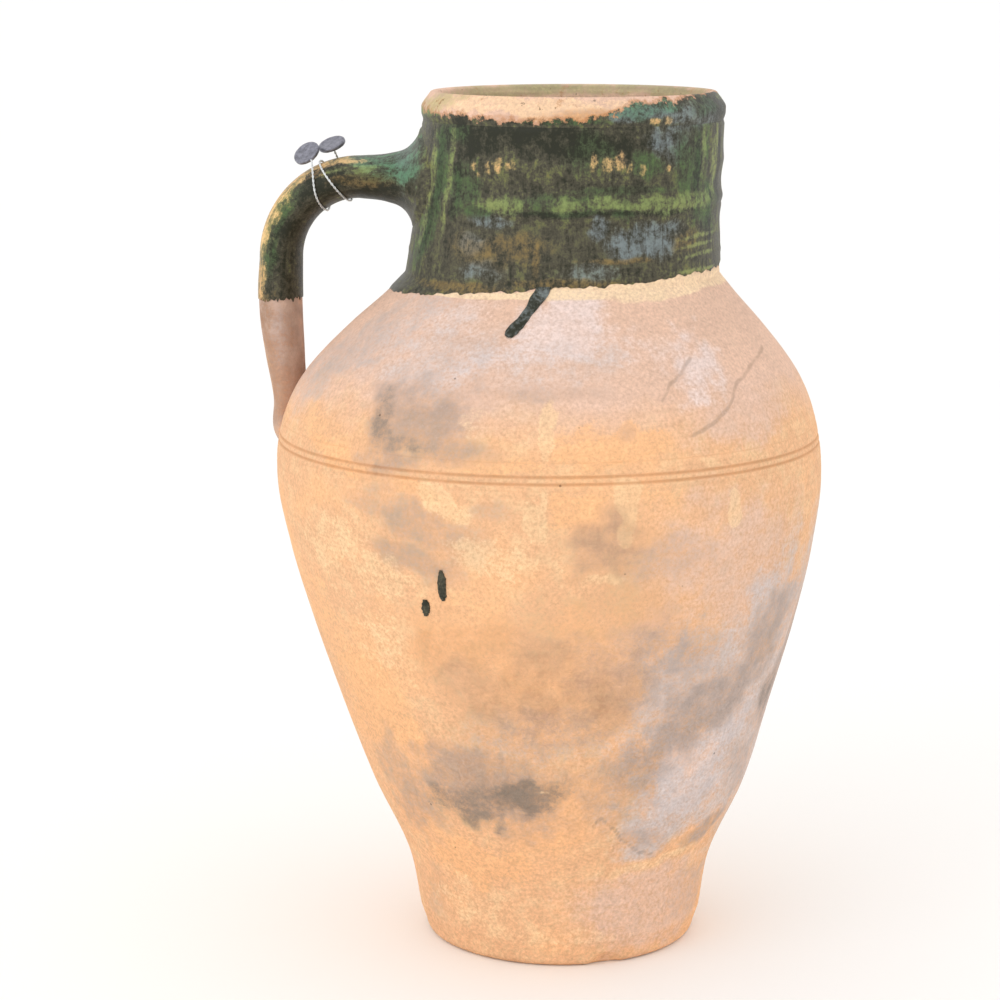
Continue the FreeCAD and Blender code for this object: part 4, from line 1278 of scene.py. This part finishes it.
def crimped_lead(context):
    """Lead pressed between dies: dull blue-grey metal, scuffed brighter in places."""
    material = new_material("lead_crimped")
    colour, scuff = flecked(material.node_tree, context.scene.jar_finish.lead, LEAD_PATTERN, LEAD_RANGE)
    return finish_material(material, {"Base Color": colour, **LEAD_SHADER}, scuff, LEAD_DEPTH, LEAD_RELIEF)


def galvanised_wire(context):
    """Galvanised steel wire, drawn and twisted: bright grey with a fine spangle."""
    material = new_material("steel_wire_galvanised")
    colour = flecked(material.node_tree, context.scene.jar_finish.wire, WIRE_PATTERN, WIRE_RANGE)[0]
    return finish_material(material, {"Base Color": colour, **WIRE_SHADER})


def studio_floor(context):
    """Matt painted board: pale, with a barely seen tooth."""
    material = new_material("painted_board_matt")
    colour = flecked(material.node_tree, context.scene.jar_finish.floor, FLOOR_PATTERN, FLOOR_RANGE)[0]
    return finish_material(material, {"Base Color": colour, **FLOOR_SHADER})


class JAR_OT_base(bpy.types.Operator):
    """Make the base slab, flat below and rounded at its lower edge"""
    bl_idname = "jar.base"
    bl_label = "Base slab"

    def execute(self, context):
        corner = np.linspace(-math.pi / 2, 0, SLAB_STEPS)
        round_radii = SLAB_BOTTOM_RADIUS - SLAB_EDGE_ROUND + SLAB_EDGE_ROUND * np.cos(corner) + SLAB_SPARE
        round_heights = SLAB_EDGE_ROUND + SLAB_EDGE_ROUND * np.sin(corner)
        side_heights = np.linspace(SLAB_EDGE_ROUND, SLAB_TOP, SLAB_SIDE_STEPS)[1:]
        side_radii = np.linspace(round_radii[-1], FOOT_RADIUS, SLAB_SIDE_STEPS)[1:]
        floor_radii = np.linspace(0, round_radii[0], SLAB_STEPS)[:-1]
        top_radii = np.linspace(FOOT_RADIUS, 0, SLAB_SIDE_STEPS)[1:]
        radii = np.concatenate([floor_radii, round_radii, side_radii, top_radii])
        heights = np.concatenate([0 * floor_radii, round_heights, side_heights, 0 * top_radii + SLAB_TOP])
        outline = np.stack([radii, 0 * radii, heights], axis=1)
        mesh = throw(context, "base_slab", outline, earthenware(context))
        self.chip(mesh)
        paint(mesh, clay_masks(places(mesh)))
        finish_piece("base_slab_clay", mesh, "base_slab", "jar")
        return {"FINISHED"}

    def chip(self, mesh):
        """Knock a shallow chip out of the lower edge."""
        points = places(mesh)
        angles, heights = round_jar(points)
        side = np.radians(turned_from(angles, CHIP_ANGLE)) * SLAB_BOTTOM_RADIUS
        from_edge = SLAB_BOTTOM_RADIUS - np.hypot(points[:, 0], points[:, 1])
        near_edge = np.clip(1 - from_edge / SLAB_EDGE_ROUND, 0, 1)
        lost = soft_mask(side, heights, CHIP_HALF_WIDTH, SLAB_EDGE_ROUND, 0) * near_edge
        points[:, :2] *= 1 - lost[:, None] * CHIP_DEPTH / SLAB_BOTTOM_RADIUS
        points[:, 2] += lost * CHIP_DEPTH / 2
        mesh.vertices.foreach_set("co", (points * MM).ravel())


class JAR_OT_walls(bpy.types.Operator):
    """Throw the lower wall and the shoulder, parted at the scarfed joint under the incised lines"""
    bl_idname = "jar.walls"
    bl_label = "Body walls"

    def execute(self, context):
        scarf_top = JOINT_HEIGHT + JOINT_SCARF
        cone = np.linspace(SLAB_TOP, LINES_LOW, LOWER_ROWS)
        low_lines = np.linspace(LINES_LOW, JOINT_HEIGHT, LINE_ROWS)[1:]
        high_lines = np.linspace(JOINT_HEIGHT, LINES_HIGH, LINE_ROWS)
        shoulder = np.linspace(LINES_HIGH, NECK_FOOT, SHOULDER_ROWS)[1:]
        lower_inner = np.linspace(scarf_top, SLAB_TOP, LOWER_INNER_ROWS)
        upper_inner = np.linspace(NECK_FOOT, scarf_top, SHOULDER_INNER_ROWS)
        for node, outer, inner in (
            ("lower_wall", np.concatenate([cone, low_lines]), lower_inner),
            ("upper_wall", np.concatenate([high_lines, shoulder]), upper_inner),
        ):
            outline = [section(outer, wall_radius(outer)), section(inner, inner_radius(inner))]
            mesh = throw(context, node, np.concatenate(outline), earthenware(context))
            paint(mesh, clay_masks(places(mesh)))
            finish_piece(f"{node}_clay", mesh, node, "jar")
        return {"FINISHED"}


class JAR_OT_neck(bpy.types.Operator):
    """Throw the neck and its bevelled lip"""
    bl_idname = "jar.neck"
    bl_label = "Neck and lip"

    def execute(self, context):
        outer = np.linspace(NECK_FOOT, LIP_FOOT, NECK_ROWS)
        inner = np.linspace(LIP_FOOT, NECK_FOOT, NECK_INNER_ROWS)
        outline = [section(outer, wall_radius(outer)), section(inner, neck_inner_radius(inner))]
        mesh = throw(context, "neck_collar", np.concatenate(outline), earthenware(context))
        paint(mesh, clay_masks(places(mesh)))
        finish_piece("neck_collar_clay", mesh, "neck_collar", "jar")

        mesh = throw(context, "rim_lip", self.lip_outline(), glazed_rim(context), turns=LIP_TURNS)
        points = places(mesh)
        angles, heights = round_jar(points)
        edge = flowing(angles, *np.array(LIP_EDGE, float).T)
        covered = np.clip(0.5 + (edge - heights) / LIP_EDGE_SOFTNESS, 0, 1)
        outside = np.hypot(points[:, 0] - LIP_LEAN, points[:, 1]) - MOUTH_RADIUS
        paint(mesh, wall_masks(points, LIP_STAINS))
        paint(mesh, {"glazed": covered * np.clip(outside / LIP_CREST, 0, 1)})
        draw_out(mesh, points)
        finish_piece("rim_lip_clay", mesh, "rim_lip", "jar")
        return {"FINISHED"}

    def lip_outline(self):
        """The lip's bead, bevel, crest and inner edge, with rounded corners and close points between."""
        corners = np.array([(NECK_RADIUS + out, LIP_FOOT + rise) for out, rise, size in LIP_CORNERS])
        points = []
        for place, (corner, (out, rise, size)) in enumerate(zip(corners, LIP_CORNERS)):
            if size == 0:
                points.append(corner)
                continue
            before = corners[place - 1] - corner
            after = corners[(place + 1) % len(corners)] - corner
            start = corner + before / np.linalg.norm(before) * size
            end = corner + after / np.linalg.norm(after) * size
            for share in np.linspace(0, 1, LIP_ROUND_STEPS):
                points.append((1 - share) ** 2 * start + 2 * share * (1 - share) * corner + share ** 2 * end)
        dense = []
        for point, ahead in zip(points, points[1:] + points[:1]):
            steps = max(1, round(np.linalg.norm(ahead - point) / LIP_STEP))
            dense.extend(point + (ahead - point) * step / steps for step in range(steps))
        radii, heights = np.array(dense).T
        return np.stack([radii, 0 * radii + LIP_LEAN, heights], axis=1)


def strap_path():
    """Down the strap from the neck: middle and way out, each as X and Z, half sizes, and place along it."""
    bend_start = BEND_REACH - NECK_RADIUS
    limb_start = bend_start + math.pi / 2 * BEND_RADIUS
    run = np.linspace(1, 0, ROOT_STEPS)[:-1]
    flare = flowing(run, *np.array(ROOT_SHARES).T)
    root = (
        run * ROOT_RUN - BEND_REACH, BEND_HEIGHT + BEND_RADIUS - flare * ROOT_DROP, 0 * run, 0 * run + 1,
        (STRAP_THICKNESS + flare * (ROOT_HEIGHT - STRAP_THICKNESS)) / 2,
        (STRAP_WIDTH + flare * (ROOT_WIDTH - STRAP_WIDTH)) / 2, bend_start - run * ROOT_RUN,
    )
    turned = np.linspace(0, math.pi / 2, BEND_STEPS)[:-1]
    out, up = -np.sin(turned), np.cos(turned)
    bend = (
        BEND_RADIUS * out - BEND_REACH, BEND_HEIGHT + BEND_RADIUS * up, out, up,
        0 * turned + STRAP_THICKNESS / 2, 0 * turned + STRAP_WIDTH / 2, bend_start + turned * BEND_RADIUS,
    )
    drop = np.linspace(0, 1, LIMB_STEPS)
    knots, *shares = np.array(LIMB_SHARES).T
    tuck, thickness, width = (flowing(drop, knots, share) for share in shares)
    limb = (
        tuck * LIMB_TUCK - BEND_REACH - BEND_RADIUS, BEND_HEIGHT - drop * LIMB_DROP, 0 * drop - 1, 0 * drop,
        thickness * STRAP_THICKNESS / 2, width * STRAP_WIDTH / 2, limb_start + drop * LIMB_DROP,
    )
    return np.concatenate([root, bend, limb], axis=1)


def strap_rings(growth, sink):
    """Rings of points on the strap, grown by an amount and filleted to the neck, with places and angles."""
    middle_x, middle_z, out_x, out_z, half_thickness, half_width, alongs = strap_path()[:, :, None]
    around = np.linspace(0, math.tau, STRAP_FACES, endpoint=False)
    thick = (half_thickness + growth) * np.cos(around)
    wide = -(half_width + growth) * np.sin(around)
    rings = np.stack([middle_x + out_x * thick, wide, middle_z + out_z * thick], axis=-1)
    for ring, height, along in zip(rings, middle_z, alongs):
        if along < ROOT_SETTLE:
            settle_on_neck(ring, height, growth, sink)
    return rings, np.broadcast_to(alongs, thick.shape), np.degrees(np.broadcast_to(around, thick.shape))


def settle_on_neck(ring, height, growth, sink):
    """Flare a root ring where it nears the neck, and keep what is deeper just under the neck's face."""
    level = np.clip(ring[:, 2], NECK_FOOT, LIP_FOOT)
    lean = wall_lean(level)
    face = wall_radius(level) + growth
    gap = np.clip(np.hypot(ring[:, 0] - lean, ring[:, 1]) - face, 0, ROOT_FILLET)
    spread = ROOT_FILLET - np.sqrt(ROOT_FILLET ** 2 - (ROOT_FILLET - gap) ** 2)
    away = np.stack([ring[:, 1], ring[:, 2] - height], axis=1)
    away /= np.linalg.norm(away, axis=1)[:, None]
    ring[:, 1:] += FILLET_SHARE * away * spread[:, None]
    pushed = np.maximum(1.0, (face - sink) / np.hypot(ring[:, 0] - lean, ring[:, 1]))
    ring[:, 0] = lean + (ring[:, 0] - lean) * pushed
    ring[:, 1] *= pushed


def strap_masks(points, alongs, arounds):
    """Masks, by kind, of the handle's stains, painted highlight and painted shade."""
    moved = drift(points)
    masks = {}
    for kind, stains in HANDLE_STAINS.items():
        for along, around, half_length, half_width, strength in stains:
            side = np.radians(turned_from(arounds, around)) * STRAP_THICKNESS / 2
            lay_stain(masks, (kind, half_length, half_width, 0, strength), alongs - along, side, moved)
    return masks


class JAR_OT_handle(bpy.types.Operator):
    """Pull the handle's strap from the neck to the shoulder"""
    bl_idname = "jar.handle"
    bl_label = "Handle"

    def execute(self, context):
        rings, alongs, arounds = strap_rings(0, GLAZE_SINK)
        mesh = skin("handle", rings, earthenware(context))
        paint(mesh, strap_masks(places(mesh), alongs.ravel(), arounds.ravel()))
        finish_piece("handle_clay", mesh, "handle", "jar")
        return {"FINISHED"}


def on_wall(angles, heights, lift):
    """Points on the outer face of the walls and neck, lifted square to the axis."""
    turned = np.radians(angles)
    level = np.minimum(heights, LIP_FOOT)
    radii = wall_radius(level) + lift
    return np.stack([wall_lean(level) + radii * np.cos(turned), radii * np.sin(turned), heights], axis=-1)


def frayed(angles, size, seed):
    """An uneven line round the jar: noise in millimetres at angles in degrees."""
    turned = np.radians(angles)
    spots = np.stack([np.cos(turned) * FRAY_LOOP, np.sin(turned) * FRAY_LOOP, 0 * turned + seed], axis=1)
    broad = np.array([noise.noise(Vector(spot)) for spot in spots])
    fine = np.array([noise.noise(Vector(FINE_FRAY_SCALE * spot)) for spot in spots])
    return size * (broad + FINE_FRAY_SHARE * fine)


class JAR_OT_coats(bpy.types.Operator):
    """Lay the glaze: the neck's coat with its ragged edge, the handle's dipped coat and the lining"""
    bl_idname = "jar.coats"
    bl_label = "Glaze coats"

    def execute(self, context):
        self.neck_coat(context)
        self.handle_coat(context)
        self.lining(context)
        return {"FINISHED"}

    def neck_coat(self, context):
        angles = np.linspace(-180, 180, COAT_FACES, endpoint=False)
        edge = flowing(angles, *np.array(GLAZE_EDGE, float).T)
        edge += frayed(angles, NECK_EDGE_WAVE, NECK_EDGE_SEED)
        shares = np.linspace(0, 1, COAT_ROWS)[:, None]
        heights = edge + shares * (GLAZE_TOP - edge)
        lap = np.minimum(1, np.minimum(shares, 1 - shares) * COAT_ROWS / COAT_LAP_ROWS)
        outer = on_wall(angles, heights, GLAZE * lap - GLAZE_SETTLE)
        inner = on_wall(angles, heights[::-COAT_INNER_EVERY], -GLAZE_SINK - GLAZE)
        mesh = skin("neck_glaze", np.concatenate([outer, inner]), green_glaze(context), looped=True)
        paint(mesh, wall_masks(places(mesh), NECK_STAINS))
        draw_out(mesh, places(mesh))
        finish_piece("neck_glaze_coat", mesh, "neck_glaze", "jar")

    def handle_coat(self, context):
        outer, alongs, arounds = strap_rings(GLAZE, GLAZE_SINK)
        inner = strap_rings(-GLAZE, GLAZE_SINK + GLAZE)[0]
        last = int(np.searchsorted(alongs[:, 0], HANDLE_GLAZE_END))
        outer, inner = (self.dip_edge(rings, alongs[:, 0], last) for rings in (outer, inner))
        mesh = skin("handle_glaze", np.concatenate([outer, inner[::-1]]), green_glaze(context), looped=True)
        both = [np.concatenate([part[:last], part[:last][::-1]]) for part in (alongs, arounds)]
        along, around = (part.ravel() for part in both)
        paint(mesh, strap_masks(places(mesh), along, around))
        turned = np.radians(around)
        across = (STRAP_THICKNESS / 2 * np.cos(turned), STRAP_WIDTH / 2 * np.sin(turned))
        draw_out(mesh, np.stack([*across, along], axis=1))
        finish_piece("handle_glaze_coat", mesh, "handle_glaze", "jar")

    def dip_edge(self, rings, alongs, last):
        """The first rings, the last of them slid along the strap so that the dip ends in a wavy line."""
        wave = frayed(np.linspace(0, 360, rings.shape[1], endpoint=False), DIP_WAVE, DIP_SEED)
        grip = np.clip((alongs[:last] - alongs[last - 1]) / DIP_REACH + 1, 0, 1)
        slid = rings[:last].copy()
        for column, shift in enumerate(wave):
            wanted = alongs[:last] + grip * shift
            for axis in range(3):
                slid[:, column, axis] = np.interp(wanted, alongs, rings[:, column, axis])
        return slid

    def lining(self, context):
        body = np.linspace(SLAB_TOP, NECK_FOOT, LINING_ROWS)
        neck = np.linspace(NECK_FOOT, LIP_FOOT, LINING_NECK_ROWS)[1:]
        heights = np.concatenate([body, neck])
        radii = np.concatenate([inner_radius(body), neck_inner_radius(neck)])
        outer = section(heights, radii)
        inner = section(heights[::-1], radii[::-1] - LINING)
        inner[-1, 2] += LINING
        middle = np.array(((0, 0, SLAB_TOP + LINING), (0, 0, SLAB_TOP)))
        outline = np.concatenate([outer, inner, middle])
        mesh = throw(context, "inner_glaze", outline, lining_glaze(context), turns=LINING_TURNS)
        draw_out(mesh, places(mesh))
        finish_piece("inner_glaze_lining", mesh, "inner_glaze", "jar")


class JAR_OT_runs(bpy.types.Operator):
    """Drop the glaze run below the neck and the two splashes on the belly"""
    bl_idname = "jar.runs"
    bl_label = "Glaze runs"

    def execute(self, context):
        for node, path in RUN_PATHS.items():
            mesh = skin(node, self.run_rings(path), green_glaze(context))
            points = places(mesh)
            for kind, strength in (("soot", RUN_SOOT), ("slate", RUN_SLATES[node])):
                paint(mesh, {kind: np.full(len(points), strength)})
            draw_out(mesh, points)
            finish_piece(f"{node}_drop", mesh, node, "jar")
        return {"FINISHED"}

    def run_rings(self, path):
        """Domed cross sections along the run, sunk a little into the wall."""
        lines = np.array(path, float).T
        knots = np.linspace(0, 1, len(path))
        around = np.linspace(0, math.tau, RUN_FACES, endpoint=False)
        dome = RUN_THICKNESS * np.abs(np.sin(around)) ** RUN_DOME_POWER
        lift = np.where(np.sin(around) >= 0, dome, RUN_SINK * np.sin(around)) - RUN_SETTLE
        rings = []
        for share in np.linspace(0, 1, RUN_ROWS):
            angle, height, half = (float(flowing(share, knots, line)) for line in lines)
            spots = [(math.cos(turn), RUN_WAVES * share, path[0][0]) for turn in around]
            wave = np.array([noise.noise(spot) for spot in spots])
            side = (half + RUN_WAVE * wave) * np.cos(around)
            turned = np.degrees(side / float(wall_radius(height)))
            rings.append(on_wall(angle + turned, np.full_like(turned, height), lift))
        return rings


def on_bend(angle, out, across):
    """A point beside the handle's bend: degrees round it, out from its centreline, and along Y."""
    reach = BEND_RADIUS + out
    turned = math.radians(angle)
    return Vector((reach * math.cos(turned) - BEND_REACH, across, reach * math.sin(turned) + BEND_HEIGHT))


class SealPlace:
    """Where a seal stands: its middle, the way its face looks, its slope from low to high edge, its side."""

    def __init__(self, angle, tilt, lift, across, seed):
        tilted = math.radians(tilt)
        out = on_bend(angle, 1, 0) - on_bend(angle, 0, 0)
        fore = Vector((0, -1, 0))
        self.middle = on_bend(angle, STRAP_THICKNESS / 2 + GLAZE + lift, across)
        self.face = out * math.cos(tilted) + fore * math.sin(tilted)
        self.slope = out * math.sin(tilted) - fore * math.cos(tilted)
        self.side = self.slope.cross(self.face)
        self.seed = seed


SEALS = {node: SealPlace(*row) for node, row in SEAL_ROWS.items()}


def round_strap(phase, angle):
    """A point of the wire's oval round the strap, one clearance off the glaze."""
    clear = GLAZE + WIRE_CLEARANCE + WIRE_RADIUS
    out = (STRAP_THICKNESS / 2 + clear) * math.cos(phase)
    return on_bend(angle, out, -(STRAP_WIDTH / 2 + clear) * math.sin(phase))


def wound_point(phase):
    """A point of the wire's two turns, which cross on the crown and splay apart under the bend."""
    splay = WIRE_SPLAY * (1 - math.cos(phase)) / 2
    return round_strap(phase, WIRE_CROSSING + (-splay if phase > math.tau else splay))


def stop_at(point_at, phase):
    """A point of a curve with its direction there."""
    return point_at(phase), (point_at(phase + PHASE_STEP) - point_at(phase - PHASE_STEP)).normalized()


def wire_stops():
    """Points and directions along the wire, from inside the front seal to inside the back one."""
    front, back = SEALS["front_seal"], SEALS["back_seal"]
    entry = front.middle + front.side * FRONT_WIRE_SHIFT
    clear = SEAL_RADIUS + 2 * WIRE_RADIUS
    behind = SEAL_THICKNESS / 2 + 2 * WIRE_RADIUS
    quarter = math.pi / 2
    return [
        (entry, -front.slope),
        (entry - front.slope * clear, -front.slope),
        *(stop_at(wound_point, count * quarter) for count in WIRE_QUARTERS),
        stop_at(lambda phase: round_strap(phase, BACK_SEAL_ANGLE), BACK_QUARTER * quarter),
        (back.middle - back.face * behind, back.face),
        (back.middle, back.face),
    ]


def wire_line():
    """Close points along the wire: cubic pieces from stop to stop, each leaving along its direction."""
    points = []
    stops = wire_stops()
    for (start, start_way), (end, end_way) in zip(stops, stops[1:]):
        pull = (end - start).length
        for share in np.linspace(0, 1, WIRE_STEPS, endpoint=False):
            rest = 1 - share
            leaving = rest ** 2 * ((1 + 2 * share) * start + share * pull * start_way)
            coming = share ** 2 * ((1 + 2 * rest) * end - rest * pull * end_way)
            points.append((leaving + coming) * MM)
    points.append(stops[-1][0] * MM)
    return points


def twisted_wire_tree():
    """Geometry nodes that lay two strands round a line of points."""
    inputs = {"Strand Radius": "Float", "Strand Lay": "Float", "Metal": "Material"}
    tree, entry = new_tree("twisted_wire", "Line", inputs, "Wire")
    curve = add(tree, "GeometryNodeMeshToCurve", {0: entry["Line"]})
    step = {"Curve": curve, "Length": STRAND_STEP * MM}
    even = add(tree, "GeometryNodeResampleCurve", step, mode="LENGTH")
    along = add(tree, "GeometryNodeSplineParameter").outputs["Length"]
    turns = add(tree, "ShaderNodeMath", {0: along, 1: entry["Strand Lay"]}, operation="DIVIDE")
    angle = add(tree, "ShaderNodeMath", {0: turns, 1: math.tau}, operation="MULTIPLY")
    cosine = add(tree, "ShaderNodeMath", {0: angle}, operation="COSINE")
    sine = add(tree, "ShaderNodeMath", {0: angle}, operation="SINE")
    normal = add(tree, "GeometryNodeInputNormal")
    tangent = add(tree, "GeometryNodeInputTangent")
    side = add(tree, "ShaderNodeVectorMath", {0: tangent, 1: normal}, operation="CROSS_PRODUCT")
    one = add(tree, "ShaderNodeVectorMath", {0: normal, "Scale": cosine}, operation="SCALE")
    other = add(tree, "ShaderNodeVectorMath", {0: side, "Scale": sine}, operation="SCALE")
    way = add(tree, "ShaderNodeVectorMath", {0: one, 1: other}, operation="ADD")
    ring = {"Resolution": STRAND_FACES, "Radius": entry["Strand Radius"]}
    round_wire = add(tree, "GeometryNodeCurvePrimitiveCircle", ring)
    strands = add(tree, "GeometryNodeJoinGeometry")
    for hand in (STRAND_REACH_SHARE, -STRAND_REACH_SHARE):
        reach = add(tree, "ShaderNodeMath", {0: entry["Strand Radius"], 1: hand}, operation="MULTIPLY")
        offset = add(tree, "ShaderNodeVectorMath", {0: way, "Scale": reach}, operation="SCALE")
        strand = add(tree, "GeometryNodeSetPosition", {"Geometry": even, "Offset": offset})
        tube = {"Curve": strand, "Profile Curve": round_wire, "Fill Caps": True}
        tree.links.new(add(tree, "GeometryNodeCurveToMesh", tube).outputs[0], strands.inputs[0])
    plain = add(tree, "GeometryNodeRealizeInstances", {"Geometry": strands})
    metal = add(tree, "GeometryNodeSetMaterial", {"Geometry": plain, "Material": entry["Metal"]})
    add(tree, "NodeGroupOutput", {0: metal})
    return tree


class JAR_OT_wire(bpy.types.Operator):
    """Twist two strands and wind them twice round the handle's bend"""
    bl_idname = "jar.wire"
    bl_label = "Seal wire"

    def execute(self, context):
        form = context.scene.jar_form
        line = wire_line()
        edges = [(place, place + 1) for place in range(len(line) - 1)]
        values = {
            "Strand Radius": form.strand_radius,
            "Strand Lay": form.strand_lay,
            "Metal": galvanised_wire(context),
        }
        mesh = from_nodes("seal_wire", line, edges, twisted_wire_tree(), values)
        finish_piece("seal_wire_strands", mesh, "seal_wire", "seal_loop")
        return {"FINISHED"}


class JAR_OT_seals(bpy.types.Operator):
    """Press the two lead seals"""
    bl_idname = "jar.seals"
    bl_label = "Lead seals"

    def execute(self, context):
        metal = crimped_lead(context)
        for node, seal in SEALS.items():
            mesh = skin(node, self.seal_rings(seal), metal)
            finish_piece(f"{node}_lead", mesh, node, "seal_loop")
        return {"FINISHED"}

    def seal_rings(self, seal):
        """Rings from the middle of the back face, round the edge, to the middle of the pressed front."""
        around = np.linspace(0, math.tau, SEAL_FACES, endpoint=False)
        rings = []
        for radius, face, rise in SEAL_SECTION:
            height = face * SEAL_THICKNESS / 2 + rise
            ring = []
            for turn in around:
                spot = Vector((math.cos(turn), math.sin(turn), seal.seed))
                uneven = 0.5 + 0.5 * noise.noise(SEAL_LUMPS * spot)
                dent = SEAL_DENT * noise.noise(SEAL_DENT_SCALE * radius * spot)
                reach = radius * (1 - SEAL_UNEVEN_SHARE * uneven * radius / SEAL_RADIUS)
                flat = seal.side * (reach * math.cos(turn)) + seal.slope * (reach * math.sin(turn))
                ring.append(seal.middle + flat + seal.face * (height + min(dent, 0)))
            rings.append(ring)
        return rings


class JAR_OT_stage(bpy.types.Operator):
    """Set the pale floor, the soft light and the camera"""
    bl_idname = "jar.stage"
    bl_label = "Stage"

    def execute(self, context):
        scene = context.scene
        stage = scene.jar_stage
        reach = FLOOR_REACH * MM
        mesh = bpy.data.meshes.new("floor")
        corners = [(-reach, -reach, 0), (reach, -reach, 0), (reach, reach, 0), (-reach, reach, 0)]
        mesh.from_pydata(corners, [], [(0, 1, 2, 3)])
        mesh.materials.append(studio_floor(context))
        floor = bpy.data.objects.new("floor", mesh)
        scene.collection.objects.link(floor)

        world = bpy.data.worlds.new("white_surround")
        world.use_nodes = True
        background = world.node_tree.nodes["Background"]
        background.inputs["Color"].default_value = (1.0, 1.0, 1.0, 1.0)
        background.inputs["Strength"].default_value = stage.sky
        scene.world = world

        key = bpy.data.lights.new("key", "AREA")
        key.shape = "DISK"
        key.size = KEY_WIDTH * MM
        key.energy = stage.key
        lamp = bpy.data.objects.new("key", key)
        lamp.location = Vector(KEY_PLACE) * MM
        aim = Vector(KEY_AIM) * MM - lamp.location
        lamp.rotation_euler = aim.to_track_quat("-Z", "Y").to_euler()
        scene.collection.objects.link(lamp)

        lens = bpy.data.cameras.new("camera")
        lens.sensor_width = SENSOR
        lens.lens = stage.lens
        camera = bpy.data.objects.new("camera", lens)
        sideways, forwards = math.sin(stage.azimuth), -math.cos(stage.azimuth)
        camera.location = (stage.distance * sideways, stage.distance * forwards, stage.height)
        camera.rotation_euler = (math.pi / 2 - stage.pitch, 0, stage.azimuth + stage.pan)
        scene.collection.objects.link(camera)
        scene.camera = camera
        scene.view_settings.view_transform = "Standard"
        return {"FINISHED"}


OPERATORS = (
    JAR_OT_stage, JAR_OT_base, JAR_OT_walls, JAR_OT_neck, JAR_OT_handle, JAR_OT_coats, JAR_OT_runs,
    JAR_OT_wire, JAR_OT_seals,
)


class JAR_PT_sidebar(bpy.types.Panel):
    """Lists the jar's sizes, colours and pieces"""
    bl_idname = "JAR_PT_sidebar"
    bl_label = "Olive jar"
    bl_space_type = "VIEW_3D"
    bl_region_type = "UI"
    bl_category = "Olive jar"

    def draw(self, context):
        for group in (context.scene.jar_form, context.scene.jar_finish, context.scene.jar_stage):
            box = self.layout.box()
            for name in group.__annotations__:
                box.prop(group, name)
        for operator in OPERATORS:
            self.layout.operator(operator.bl_idname)


GROUPS = {"jar_form": JarForm, "jar_finish": JarFinish, "jar_stage": JarStage}


def register():
    for group in (*GROUPS.values(), *OPERATORS, JAR_PT_sidebar):
        bpy.utils.register_class(group)
    for name, group in GROUPS.items():
        setattr(bpy.types.Scene, name, PointerProperty(type=group))


def unregister():
    for name in GROUPS:
        delattr(bpy.types.Scene, name)
    for group in reversed((*GROUPS.values(), *OPERATORS, JAR_PT_sidebar)):
        bpy.utils.unregister_class(group)


def main():
    register()
    for operator in OPERATORS:
        getattr(bpy.ops.jar, operator.bl_idname.split(".")[1])()


if __name__ == "__main__":
    main()
